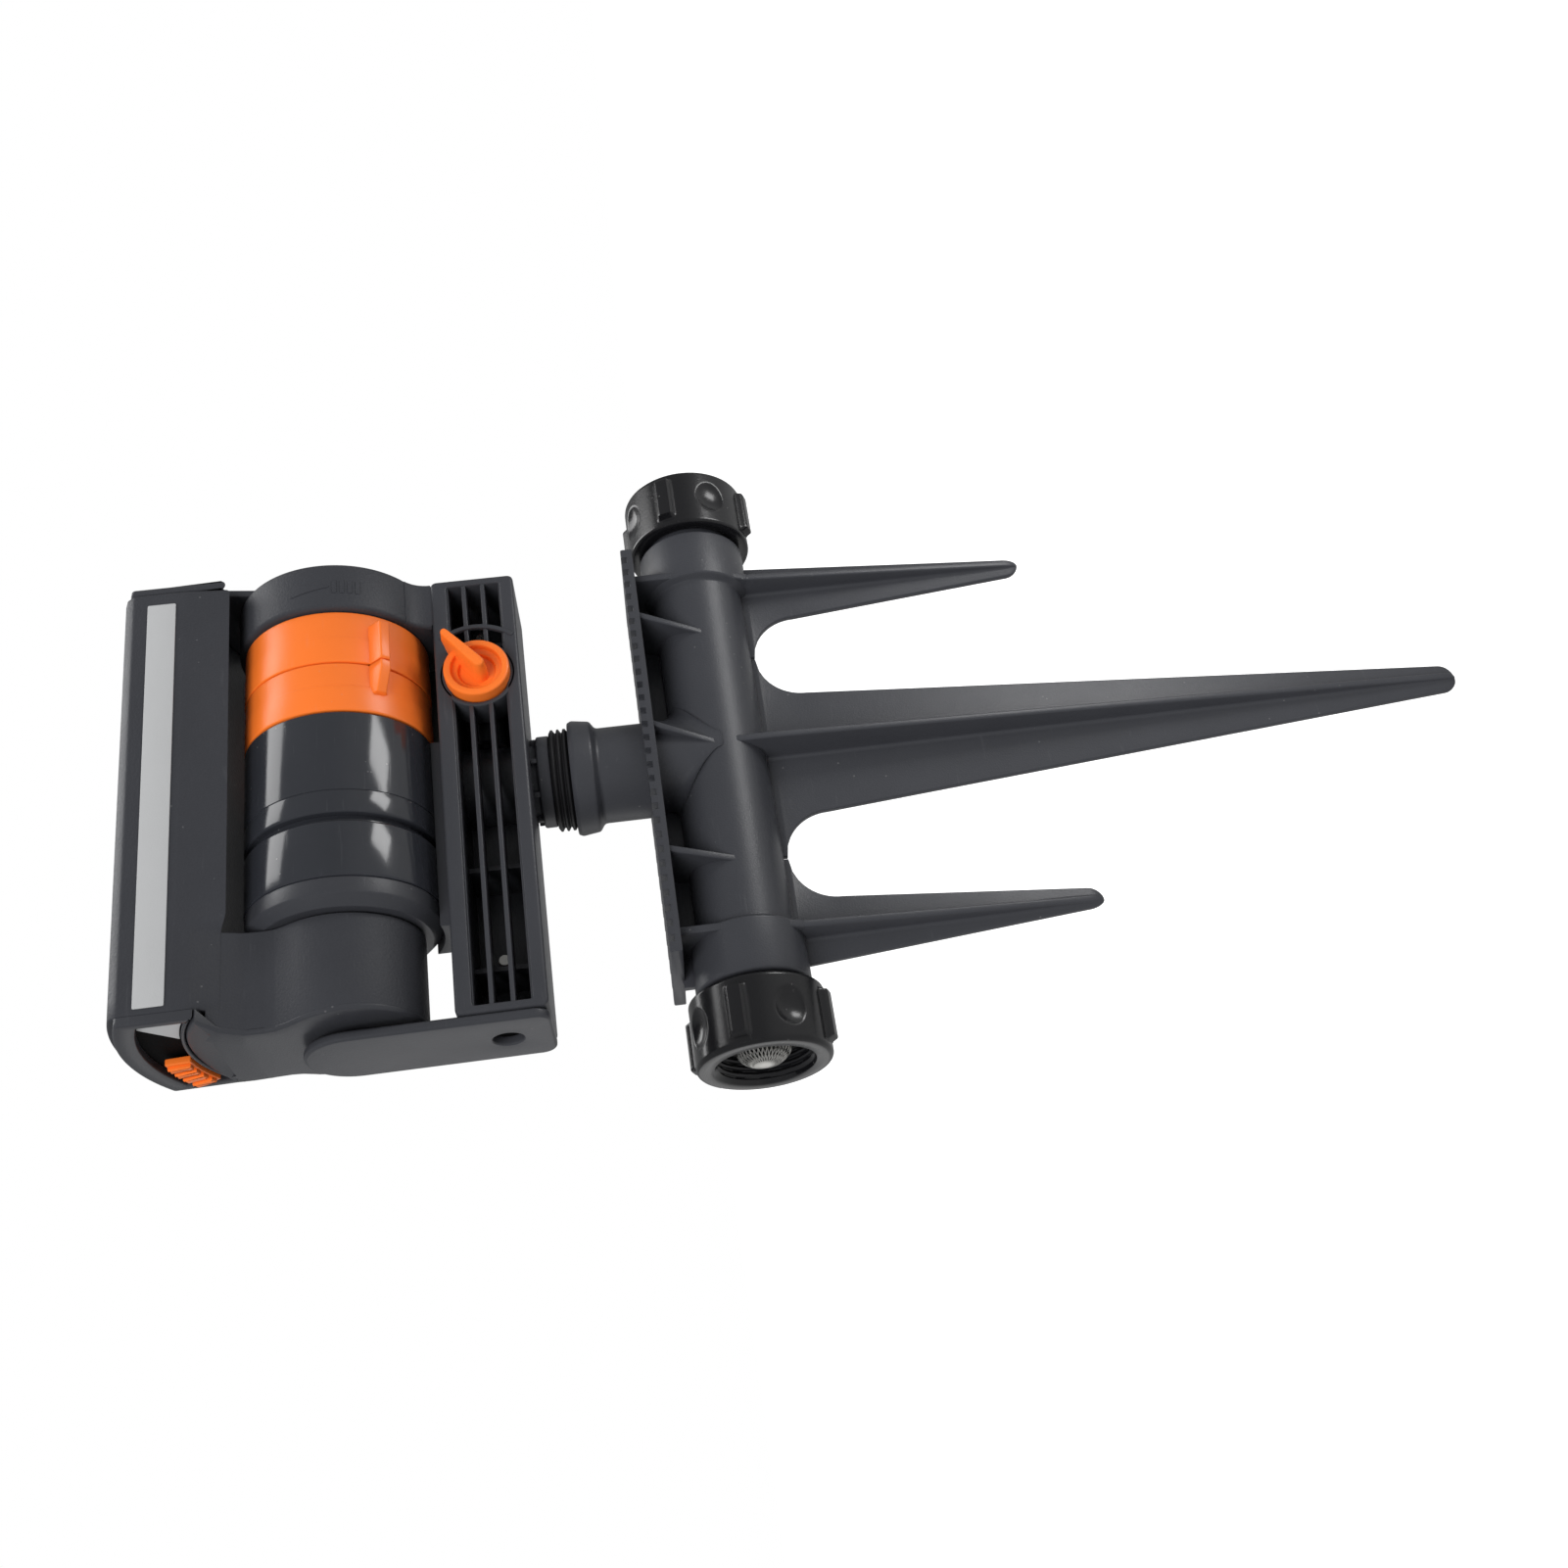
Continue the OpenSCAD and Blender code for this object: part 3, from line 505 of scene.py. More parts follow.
# ---------------------------------------------------------------- spike base
def spike_rings(tip, top_half, slope, rib, rib_slope, flare, x0, outer=None):
    """Cross-shaped section carried down the spike. The web's half-width is straight-sided below the
    shoulder and follows a quarter circle of radius flare above it; the rib tapers straight; both close
    to a round point over the last few millimetres. On a side spike the half that faces away from the
    middle tapers straight from its own half-width, outer, instead."""
    z = np.concatenate([[12.0, 8.0, 4.0, 0.6], np.linspace(0.0, SHOULDER_Z, 12),
                        np.linspace(-16, 4 - tip, 22),
                        4 - tip - 4 * np.sin(np.linspace(0.15, 1, 8) * math.pi / 2)])
    below = np.maximum(SHOULDER_Z - z, 0)
    rise = np.minimum(np.clip(z - SHOULDER_Z, 0, 13), flare)
    round_out = flare - np.sqrt(flare ** 2 - rise ** 2)
    web = top_half - slope * below + np.where(z > SHOULDER_Z, round_out, 0)
    depth = rib - rib_slope * np.maximum(-z, 0)
    closing = np.sqrt(np.clip(1 - ((4 - tip - z) / 4.02) ** 2, 0, 1)) * (z < 4 - tip) + (z >= 4 - tip)
    thick = (1.15 + 0.1 * smooth_step((z + 60) / 60)) * np.maximum(closing, 0.02)
    away = web if outer is None else np.minimum(web, outer - (outer - 2) * np.maximum(-z, 0) / (tip - 2))
    web, away, depth = (np.maximum(size * closing, thick + 0.05) for size in (web, away, depth))
    plus, minus = (away, web) if x0 > 0 else (web, away)
    rings = []
    for w, v, d, t, level in zip(plus, minus, depth, thick, z):
        cross = [(w, -t * 0.8), (w, t * 0.8), (t, t), (t * 0.8, d), (-t * 0.8, d), (-t, t),
                 (-v, t * 0.8), (-v, -t * 0.8), (-t, -t), (-t * 0.8, -d), (t * 0.8, -d), (t, -t)]
        ring = rounded(cross, [0.5, 0.5, 1.1, 0.5, 0.5, 1.1] * 2, 3)
        rings.append(np.column_stack([ring[:, 0] + x0, ring[:, 1], np.full(len(ring), level)]))
    return grid(np.stack(rings), cap_low=True, cap_high=True)


def end_rib(x):
    """Rounded web over the boss at x, from the step plate down to the side spike."""
    outline = rounded([(-13.6, PLATE_LOW[2] + 0.4), (13.6, PLATE_LOW[2] + 0.4), (13.6, TUBE_Z - 4),
                       (9, 0.0), (-9, 0.0), (-13.6, TUBE_Z - 4)], 0.4, 2)
    return slab(outline, x - 1.1, x + 1.1, 0.5)


def long_web(x0, x1):
    """Stretch of the long web between the tube and the step plate."""
    return block((x0, 1.85, TUBE_Z + 5), (x1, 4.15, PLATE_LOW[2] + 0.4), 0.15, "x")


def slanting_rib(foot, head):
    """Gusset sheared along x: it stands at foot on the tube's axis and at head under the plate."""
    low, high = TUBE_Z, PLATE_LOW[2] + 0.4
    outline = rounded([(-17, high), (17, high), (13, low), (-13, low)], 0.4, 2)
    points, faces = slab(outline, -0.95, 0.95, 0.45)
    points[:, 0] += foot + (head - foot) * (points[:, 2] - low) / (high - low)
    return points, faces


def step_plate_surface(pitch=4.3, deep=1.6):
    """Rounded section carried along the plate; its top drops by deep over each notch, and near the
    stem only outside the last 2.4 mm of its depth."""
    half = PLATE_HIGH[0]
    top, low, side = PLATE_HIGH[2], PLATE_LOW[2], PLATE_HIGH[1]
    step = np.array([-1.3, -1.05, -0.98, -0.85, 0.85, 0.98, 1.05, 1.3])
    count = np.arange(-14, 15)
    centres = pitch * count
    x = (centres[:, None] + step).ravel()
    fall = np.tile([0, 0.06, 0.9, 1, 1, 0.9, 0.06, 0], len(count))
    outer = np.repeat(np.abs(count) > 3, len(step))
    ends = np.array([0, 0.15, 0.5])
    x = np.concatenate([[-half, -half + 0.1, -half + 0.4], x, [half - 0.4, half - 0.1, half]])
    fall = np.concatenate([np.zeros(3), fall, np.zeros(3)]) * deep
    outer = np.concatenate([[True] * 3, outer, [True] * 3])
    pull = np.zeros(len(x))
    pull[:3], pull[-3:] = ends[::-1] * 0.8, ends * 0.8
    r = 0.4
    flat = np.array([-side, -side, -side, -side + 0.12, -side + r, -side + 2.0, -side + 2.4, side - 2.4,
                     side - 2.0, side - r, side - 0.12, side, side, side, side - 0.15, -side + 0.15])
    high = np.array([low + 0.15, low + 1.2, top - r, top - 0.12, top, top, top, top, top, top,
                     top - 0.12, top - r, low + 1.2, low + 0.15, low, low])
    rim = np.array([0, 0, 1, 1, 1, 1, 0, 0, 1, 1, 1, 1, 0, 0, 0, 0], bool)
    middle = np.array([0, 0, 0, 0, 0, 0, 1, 1, 0, 0, 0, 0, 0, 0, 0, 0], bool)
    reach = rim[None] | (middle[None] & outer[:, None])
    z = high[None] - fall[:, None] * reach
    mid = (low + top) / 2
    z = mid + (z - mid) * (1 - pull[:, None] * 0.3)
    y = flat[None] * (1 - pull[:, None] * 0.02)
    points = np.stack([np.repeat(x[:, None], len(flat), 1), y, z], -1)
    return grid(points, cap_low=True, cap_high=True)


def stem_surface():
    """Stem whose foot flares with a 4 mm fillet where it leaves the tube, height over the tube taken
    per direction, then straight to the collar; bore inside."""
    r, tube, fillet = 13.4, sizes().tube_radius / MM, 4.0
    angle = np.linspace(0, TURN, 144, endpoint=False)
    foot = TUBE_Z + np.sqrt(np.maximum(tube ** 2 - (r * np.sin(angle)) ** 2, 0)) - 0.6
    rise = fillet * (1 - np.cos(np.linspace(0, math.pi / 2, 9)))
    flare = fillet - np.sqrt(fillet ** 2 - (fillet - rise) ** 2)
    side = np.abs(np.cos(angle)) ** 1.5
    rows = [np.stack([(r + f * side) * np.cos(angle), (r + f * side) * np.sin(angle), foot + h], -1)
            for f, h in zip(flare, rise)]
    top = TUBE_Z + 34
    profile = rounded([(36, r), (top, r), (top + 1.4, 15.5), (top + 6.4, 16.2), (top + 7.6, 15.6),
                       (top + 7.6, 10), (20, 10)], [0, 1.5, 1.2, 1.5, 0.5, 0.4, 0], 5, closed=False)
    for travel, radius in profile:
        rows.append(np.stack([radius * np.cos(angle), radius * np.sin(angle),
                              np.full(len(angle), travel)], -1))
    return grid(np.stack(rows), close_u=True)


def tube_surface():
    """Cross tube: barrel, two end bosses, nut flange and cap spigot, turned about its axis."""
    r = sizes().tube_radius / MM
    half = [(-76.4, 8.5), (-76.4, 11.9), (-74.9, 11.9), (-74.9, 10.95), (-71.4, 10.95), (-71.4, r),
            (-70.6, r), (-70.6, 15.4), (-55.4, 15.4), (-54.2, r), (54.2, r), (55.4, 15.4),
            (70.6, 15.4), (70.6, 13.15), (84, 13.15), (84, 8.5)]
    rim = [0.3, 0.4, 0.2, 0.2, 0.2, 0.2, 0.2, 1.0, 1.0, 0.8, 0.8, 1.0, 1.0, 0.2, 0.5, 0.3]
    profile = rounded(half, rim, 5)
    return revolve(profile, (0, 0, TUBE_Z), count=144)


class SPRINKLER_OT_spike_base(bpy.types.Operator):
    """Cross tube with its stem, the notched step plate and its gussets, and the three spikes"""
    bl_idname = "sprinkler.spike_base"
    bl_label = "Spike base"

    def execute(self, context):
        body = "spike_base"
        piece("cross_tube_skin", [tube_surface()], body, ["cross_tube"], "anthracite_smooth")
        piece("stem_skin", [stem_surface()], body, ["stem_socket"], "anthracite_smooth")
        piece("step_plate_skin", [step_plate_surface()], body, ["step_plate"], "anthracite_smooth")
        gussets = [slanting_rib(foot, head) for foot, head in ((-37.2, -33.8), (-1.2, 5.2), (36, 41.6))]
        gussets += [long_web(-54.8, -12.9), long_web(12.9, 54.8)]
        piece("plate_gussets", gussets, body, ["plate_ribs"], "anthracite_smooth")
        piece("centre_spike", [spike_rings(-TIP_Z, 19.5, 0.0815, 12.4, 0.0505, 13, 0)], body,
              ["spike_centre"], "anthracite_smooth")
        for side, name in ((1, "far"), (-1, "near")):
            x = side * SIDE_X
            end_web = long_web(*sorted((x, side * 65.9)))
            prong = spike_rings(82.6, 10.3, 0.098, 9, 0.088, 13, x, 8.6)
            piece(f"{name}_spike", [prong, end_rib(x), end_web], body, [f"spike_{name}"],
                  "anthracite_smooth")
        return {"FINISHED"}


# ---------------------------------------------------------------- hose fittings
def grip_wave(travel, radius, angle):
    """Nut wall: four lugs raised by a smooth plateau along and across, and between them four hollows,
    each the nearer wall of a ball centred outside the nut."""
    outer = sizes().nut_radius / MM
    off_middle = travel - NUT_LENGTH / 2
    on_wall = smooth_step((radius - outer + 2.2) / 1.2)
    for at in (-20, 70, 160, 250):
        turn = (angle - math.radians(at) + math.pi) % TURN - math.pi
        across = 1 - smooth_step((np.abs(turn) * outer - 1.5) / 1.5)
        along = 1 - smooth_step(np.abs(off_middle) - 6.2)
        radius = radius + 1.9 * across * along * on_wall
    ball, reach = 25.6, 9.4
    for at in (25, 115, 205, 295):
        turn = (angle - math.radians(at) + math.pi) % TURN - math.pi
        inside = reach ** 2 - off_middle ** 2 - (ball * np.sin(turn)) ** 2
        near = ball * np.cos(turn) - np.sqrt(np.maximum(inside, 0))
        hollow = (inside > 0) & (np.abs(turn) < 1) & (radius > 15)
        radius = np.where(hollow, np.minimum(radius, near), radius)
    return radius


def nut_wall(inner):
    """Outer wall rows of a nut from its tube end to its mouth, then the given inner rows."""
    r = sizes().nut_radius / MM
    outer = rounded([(0, 14.2), (0, r), (NUT_LENGTH, r), (NUT_LENGTH, 13.6)], [0, 1.0, 1.3, 0], 5,
                    closed=False)
    flat = np.linspace(1.2, NUT_LENGTH - 1.5, 44)
    outer = np.concatenate([outer[:7], np.column_stack([flat, np.full(44, r)]), outer[7:]])
    return np.concatenate([outer, np.asarray(inner, float)])


def nut_points(profile, side, wave):
    """Nut profile turned about the tube's axis at the far end, side 1, or mirrored for the near end,
    side -1."""
    points, faces = revolve(profile, count=320, wave=wave)
    points = points * (side, 1, 1) + (side * NUT_START, 0, TUBE_Z)
    return points, faces


def thread_rows():
    """Travel samples of the threaded bore from the mouth inwards."""
    travel = np.linspace(17.6, 8.0, 64)
    return np.column_stack([travel, np.full(64, THREAD_R)])


def nut_wave(travel, radius, angle):
    """Grip outside; inside, a helix: the bore's radius swings with travel / pitch + angle / turn."""
    wavy = grip_wave(travel, radius, angle)
    phase = (travel / THREAD_PITCH + angle / TURN) % 1.0
    ridge = 0.55 * (1 - 2 * np.abs(2 * phase - 1))
    on_thread = (np.abs(radius - THREAD_R) < 0.01) & (travel > 7.9)
    return np.where(on_thread, THREAD_R + np.clip(ridge, -THREAD_DEPTH, THREAD_DEPTH), wavy)


def washer(low, high, outer, inner):
    """Flat ring with rounded rims about the tube's axis."""
    return revolve(rounded([(low, inner), (low, outer), (high, outer), (high, inner)], 0.3, 3),
                   (0, 0, TUBE_Z), count=96)


class SPRINKLER_OT_hose_fittings(bpy.types.Operator):
    """Threaded hose nut, blind end cap and their washers"""
    bl_idname = "sprinkler.hose_fittings"
    bl_label = "Hose fittings"

    def execute(self, context):
        inner = np.concatenate([[(18.6, 13.3)], thread_rows(), [(7.6, 12.6), (2.8, 12.6), (2.6, 11.2),
                                                               (0.2, 11.1), (0, 11.4)]])
        piece("hose_nut_skin", [nut_points(nut_wall(inner), -1, nut_wave)], "hose_nut", ["hose_nut"],
              "black_gloss")
        face, floor = NUT_LENGTH - 0.5, NUT_LENGTH - 2.6
        cap = nut_wall([(NUT_LENGTH, 13.0), (face, 12.4), (face, 0.02), (floor, 0.02), (floor, 13.2),
                        (2.4, 13.2), (1.0, 15.2), (0.1, 15.6)])
        piece("end_cap_skin", [nut_points(cap, 1, grip_wave)], "end_cap", ["end_cap"], "black_gloss")
        piece("hose_washer_skin", [washer(-79, -76.42, 11.9, 8.3)], "spike_base", ["hose_washer"], "rubber")
        refinish(["cap_washer"], "rubber")
        return {"FINISHED"}


# ---------------------------------------------------------------- inlet filter
def thimble(t):
    """Distance from the rim and radius along the thimble: straight wall, then an elliptical tip."""
    rim, nose, radius = 5.6, 5.4, 7.45
    wall = np.minimum(t * 1.75, 1) * rim
    over = np.clip((t * 1.75 - 1) / 0.75, 0, 1) * math.pi / 2
    return wall + nose * np.sin(over), radius * np.cos(over * 0.985)


def woven_wires(lean, wires, wire):
    """Helical wires over the thimble: angle grows with t, the path bobs in and out past each crossing,
    and a four-sided ring follows each wire."""
    t = np.linspace(0.0, 1.0, 110)[None, :, None]
    start = (np.arange(wires) / wires * TURN)[:, None, None]
    side = (np.arange(4) / 4 * TURN)[None, None]
    travel, radius = thimble(t)
    angle = start + lean * 1.15 * t
    bob = 0.7 * wire * np.sin(wires * (start + lean * angle) + (0 if lean > 0 else math.pi))
    across = wire * np.cos(side)
    out = wire * np.sin(side) + bob
    r = np.maximum(radius + out, 0.05)
    angle = angle + across / np.maximum(radius, 0.8)
    x = np.broadcast_to(FILTER_X - travel, angle.shape)
    points = np.stack([x, r * np.cos(angle), r * np.sin(angle) + TUBE_Z], -1)
    return [grid(strand) for strand in points]


class SPRINKLER_OT_inlet_filter(bpy.types.Operator):
    """Woven wire thimble and its pressed rim inside the hose nut"""
    bl_idname = "sprinkler.inlet_filter"
    bl_label = "Inlet filter"

    def execute(self, context):
        wire, count = sizes().wire_radius / MM, sizes().wire_count
        mesh = [w for lean in (1, -1) for w in woven_wires(lean, count, wire)]
        piece("filter_weave", mesh, "spike_base", ["filter_mesh"], "stainless", sharp=70)
        piece("filter_rim_skin", [washer(-79.9, -79.02, 11.4, 7.3)], "spike_base", ["filter_rim"],
              "stainless")
        return {"FINISHED"}


# ---------------------------------------------------------------- head base
def chassis_patches(edge):
    """Open box: a rounded ring round the grille window, a back wall, two deep bars, two cross walls
    and the boss that carries the flow knob."""
    low, high = box_mm("chassis")
    high = np.array([high[0], high[1], HEAD_TOP])
    front, back = low[1], high[1]
    rim = rounded([(low[0], low[2]), (high[0], low[2]), (high[0], high[2]), (low[0], high[2])], 1.6, 5)
    window = rounded([(-72.8, 71.3), (55.1, 71.3), (55.1, 86.0), (-72.8, 86.0)], 0.6, 5)
    parts = [slab(rim, front, back, edge, "y", hole=window)]
    wall = rounded([(low[0] + 0.6, low[2] + 0.6), (high[0] - 0.6, low[2] + 0.6),
                    (high[0] - 0.6, high[2] - 0.6), (low[0] + 0.6, high[2] - 0.6)], 1.2, 3)
    parts.append(slab(wall, back - 2.4, back - 0.3, 0.3, "y"))
    for z in (76.0, 81.3):
        for x0, x1 in ((-73.2, KNOB[0] - 9.6), (KNOB[0] + 9.6, 55.4)):
            parts.append(block((x0, front + 0.15, z - 0.62), (x1, front + 8.5, z + 0.62), 0.3, "x"))
    for x in (-60.0, -31.0, 40.0):
        parts.append(block((x - 0.7, front + 9, 71), (x + 0.7, back - 1, 86.4), 0.2, "x"))
    for z0, z1 in ((69.9, 71.6), (85.7, 87.0)):
        parts.append(block((-73.6, front + 0.6, z0), (55.8, back - 1, z1), 0.2, "x"))
    boss = rounded([(front, 10.6), (front + 9.4, 10.6), (front + 9.4, 3.6), (front + 1.9, 3.6),
                    (front + 1.9, 9.45), (front, 9.45)], [0.5, 0.2, 0.1, 0.1, 0.2, 0.2], 4)
    parts.append(revolve(boss, (KNOB[0], 0, KNOB[2]), "y", 96))
    parts.append(saddle(-45.9, 9.9, front + 9, back, 25.45))
    parts.append(saddle(9.6, 42.2, back - 4, back, 25.85))
    return parts


def saddle(x0, x1, front, back, radius):
    """Ledge on top of the chassis, its top hollowed by a circle about the drum axis."""
    y = np.linspace(back, front, 24)
    top = DRUM[2] - np.sqrt(radius ** 2 - (y - DRUM[1]) ** 2)
    outline = np.concatenate([[(front, HEAD_TOP - 0.8), (back, HEAD_TOP - 0.8)], np.stack([y, top], 1)])
    return slab(outline, x0, x1, 0.2, steps=2)


def scale_arc():
    """Raised arc beside the flow knob, from one end of the knob's travel to the other."""
    centre = (KNOB[0], KNOB[2])
    outline = np.concatenate([arc(16.3, -132, -52, 30), arc(15.0, -52, -132, 30)]) + centre
    low = box_mm("flow_scale")[0][1]
    return slab(outline, low, low + 1.4, 0.3, "y", steps=2)


def housing_outline():
    """Round housing on the drum axis, run into the chassis by a concave arc of 8 mm at the front."""
    r, foot = box_mm("far_housing")[1][2] - DRUM[2] - 0.2, 90.4 - DRUM[2]
    blend = np.array([-20.7, -28.2]) + 8 * np.stack([np.cos(np.radians(np.linspace(0, 53.7, 9))),
                                                     np.sin(np.radians(np.linspace(0, 53.7, 9)))], 1)
    around = arc(r, 143.7, -151.5, 110)
    return np.concatenate([[(12.75, foot), (-12.7, foot)], blend, around])


def drum_patch(x0, x1, a0, a1, low, high, shear=0.0):
    """Small raised plate on a drum-wide cylinder between two travels and two angles."""
    x = np.linspace(x0, x1, 3)[:, None]
    a = np.radians(np.linspace(a0, a1, 14))[None]
    mid_x, mid_a = (x0 + x1) / 2, math.radians((a0 + a1) / 2)
    rows = []
    for radius, spread in ((low, 1.0), (high, 0.97)):
        xx = mid_x + (x - mid_x) * spread * (1 - shear * (a - a.min()) / (a.max() - a.min()))
        aa = mid_a + (a - mid_a) * spread
        y, z = DRUM[1] - radius * np.sin(aa), DRUM[2] + radius * np.cos(aa)
        rows.append(np.stack(np.broadcast_arrays(xx, y, z), -1))
    rims = [np.concatenate([row[0], row[1:-1, -1], row[-1, ::-1], row[1:-1, 0][::-1]]) for row in rows]
    return [grid(rows[1], close_v=False), grid(np.stack(rims))]


def range_mark(radius):
    """Wedge and four bars that stand for a wider and a narrower spray."""
    x0, x1, low, high = 47.4, 51.6, radius - 0.15, radius + 0.18
    patches = drum_patch(x0, x1, 96, 73, low, high, shear=0.92)
    for start in (97.5, 102.0, 106.5, 111.0):
        patches += drum_patch(x0, x1, start, start + 2.6, low, high)
    return patches


def arm_outline():
    """Arm at the near end: a half circle round the drum axis and two rounded feet."""
    foot = box_mm("near_arm")[0][2] - DRUM[2]
    top = arc(12.8, 90, -90, 60, (0, -2))
    feet = rounded([(12.8, -10), (12.8, foot), (-12.8, foot), (-12.8, -10)], 4.0, 8, closed=False)
    return np.concatenate([top, feet])


class SPRINKLER_OT_head_base(bpy.types.Operator):
    """Grille chassis, far housing, near arm and the spigot that the head turns on"""
    bl_idname = "sprinkler.head_base"
    bl_label = "Head base"

    def execute(self, context):
        edge, body = sizes().edge_round / MM, "head_base"
        piece("chassis_skin", chassis_patches(edge), body, ["chassis"], "anthracite_smooth")
        piece("flow_scale_mark", [scale_arc()], body, ["flow_scale"], "anthracite_smooth")
        hump = drum_slab(housing_outline(), box_mm("far_housing")[0][0], 57.5, 1.3)
        axle = drum_turned([(57.0, 0.02), (57.0, 6), (63.35, 6), (63.35, 0.02)], [0, 0.2, 0.5, 0], 64)
        piece("housing_skin", [hump, axle] + range_mark(26.8), body, ["far_housing"], "anthracite")
        outline = dense(counter_clockwise(about_drum(arm_outline())))
        hole_at = (DRUM[1], ARM_HOLE_Z)
        arm = slab(outline, box_mm("near_arm")[0][0], -75.04, 0.95,
                   hole=round_hole(outline, hole_at, ARM_HOLE_R), steps=5)
        pin = drum_turned([(-75.2, 0.02), (-75.2, 4.98), (-70.65, 4.98), (-70.65, 0.02)],
                          [0, 0.2, 0.5, 0], 64)
        piece("near_arm_skin", [arm, pin], body, ["near_arm"], "anthracite_smooth")
        # Near-black disc just inside the arm's hole: painted shade, so the hole reads dark instead of showing
        # the lit chassis wall behind it.
        floor = slab(arc(ARM_HOLE_R - 0.05, 0, 352, 40, hole_at), -75.35, -75.05, 0.05, steps=1)
        piece("arm_hole_painted_shade", [floor], body, ["near_arm"], "deep_shade")
        button = [(63.42, 0.02), (63.42, 9), (64.6, 9), (65.0, 8.7), (65.2, 8.2), (65.2, 0.02)]
        piece("pivot_button", [revolve(button, DRUM * (0, 1, 1), count=96)], body, ["pivot_cap"],
              "anthracite_smooth")
        spigot = rounded([(42, 8.2), (42, 9.9), (62, 9.9), (62, 12.8), (65.6, 12.8), (65.6, 11),
                          (86.9, 11), (86.9, 8.2)], [0.3, 0.5, 0.1, 0.5, 0.6, 0.5, 0.3, 0.3], 4)
        fins = []
        for turn in np.arange(8) * TURN / 8:
            points, faces = block((9.5, -0.7, 65.3), (12.4, 0.7, 67.25), 0.25, "z")
            c, s = math.cos(turn), math.sin(turn)
            fins.append((points @ np.array([[c, s, 0], [-s, c, 0], [0, 0, 1]]), faces))
        piece("spigot_skin", [revolve(spigot, axis="z", count=128)] + fins, body, ["inlet_spigot"],
              "anthracite_smooth")
        seal = rounded([(56.65, 10.1), (56.65, 13.3), (57.3, 14.3), (57.9, 14.3), (58.2, 13.3), (58.5, 13.3),
                        (59.1, 14.3), (59.6, 14.3), (59.9, 13.3), (60.2, 13.3), (60.8, 14.3),
                        (61.3, 14.3), (61.9, 13.3), (61.9, 10.1)], 0.2, 3)
        piece("seal_stack", [revolve(seal, axis="z", count=128)], "spike_base", ["stem_rings"], "rubber")
        return {"FINISHED"}


# ---------------------------------------------------------------- drum
def ring_tab(x0, x1, slope_low, slope_high):
    """Finger tab on a range ring: a trapezoid section across, carried along the drum, its height
    falling towards the ring at the ends by the given run."""
    x = np.array([x0, x0 + 0.3, x0 + slope_low, x1 - slope_high, x1 - 0.3, x1])
    rising, level = (0.0, 0.25, 1.0, 1.0, 0.9, 0.7), (0.9, 0.97, 1.0, 1.0, 0.97, 0.9)
    base = rounded([(-3.3, 23.5), (3.1, 23.5), (1.35, 29.7), (-1.35, 29.7)], [0.1, 0.1, 0.5, 0.5], 4)
    c, s = math.cos(TAB_TURN), math.sin(TAB_TURN)
    rings = []
    for travel, height in zip(x, rising if slope_low > 1 else level):
        section = np.column_stack([base[:, 0], 23.5 + (base[:, 1] - 23.5) * (0.32 + 0.68 * height)])
        rings.append(drum_ring(section @ np.array([[c, s], [-s, c]]), travel))
    return grid(np.stack(rings), cap_low=True, cap_high=True)


class SPRINKLER_OT_drum(bpy.types.Operator):
    """Polished gear housing and cover, the tapered flange and the two range rings"""
    bl_idname = "sprinkler.drum"
    bl_label = "Drum"

    def execute(self, context):
        r, body = sizes().drum_radius / MM, "head_base"
        housing = [(-20.4, 4.2), (-20.4, r), (-14.05, r), (-13.95, r - 0.22), (-13.75, r - 0.22), (-13.65, r),
                   (9.6, r), (10.1, r - 0.5), (10.1, 21.8), (48.8, 21.8), (48.8, 4.2)]
        rim = [0.1, 0.7, 0.06, 0.04, 0.04, 0.06, 0.3, 0.3, 0.1, 0.1, 0.1]
        piece("gear_housing_skin", [drum_turned(housing, rim)], body, ["gear_housing"], "drum_gloss")
        cover = [(-38.6, 4.2), (-38.6, r), (-22.7, r), (-22.7, 23.5), (-20.42, 23.5), (-20.42, 4.2)]
        piece("gearbox_cover_skin", [drum_turned(cover, [0.1, 0.7, 0.7, 0.1, 0.1, 0.1])], body,
              ["gearbox_cover"], "drum_gloss")
        flange = [(-38.62, 4.2), (-38.62, 25.2), (-43.2, 25.2), (-46.0, 22.6), (-46.0, 4.2)]
        piece("drum_flange_skin", [drum_turned(flange, [0.1, 0.5, 0.8, 0.6, 0.1])], body,
              ["drum_flange"], "anthracite_smooth")
        far = [(25.8, 21.95), (25.8, r), (33.9, r), (34.0, r - 0.14), (42.2, r - 0.14), (42.2, 21.95)]
        piece("range_ring_far_skin", [drum_turned(far, [0.2, 0.35, 0.05, 0.05, 0.5, 0.2]),
                                      ring_tab(25.8, 38.0, 0.8, 0.6)], "range_ring_far",
              ["range_ring_far"], "orange")
        near = [(10.4, 21.95), (10.4, r), (18.2, r), (18.35, r - 0.16), (25.4, r - 0.16), (25.4, 21.95)]
        piece("range_ring_near_skin", [drum_turned(near, [0.2, 0.5, 0.05, 0.05, 0.35, 0.2]),
                                       ring_tab(16.5, 25.4, 6.5, 0.4)], "range_ring_near",
              ["range_ring_near"], "orange")
        return {"FINISHED"}


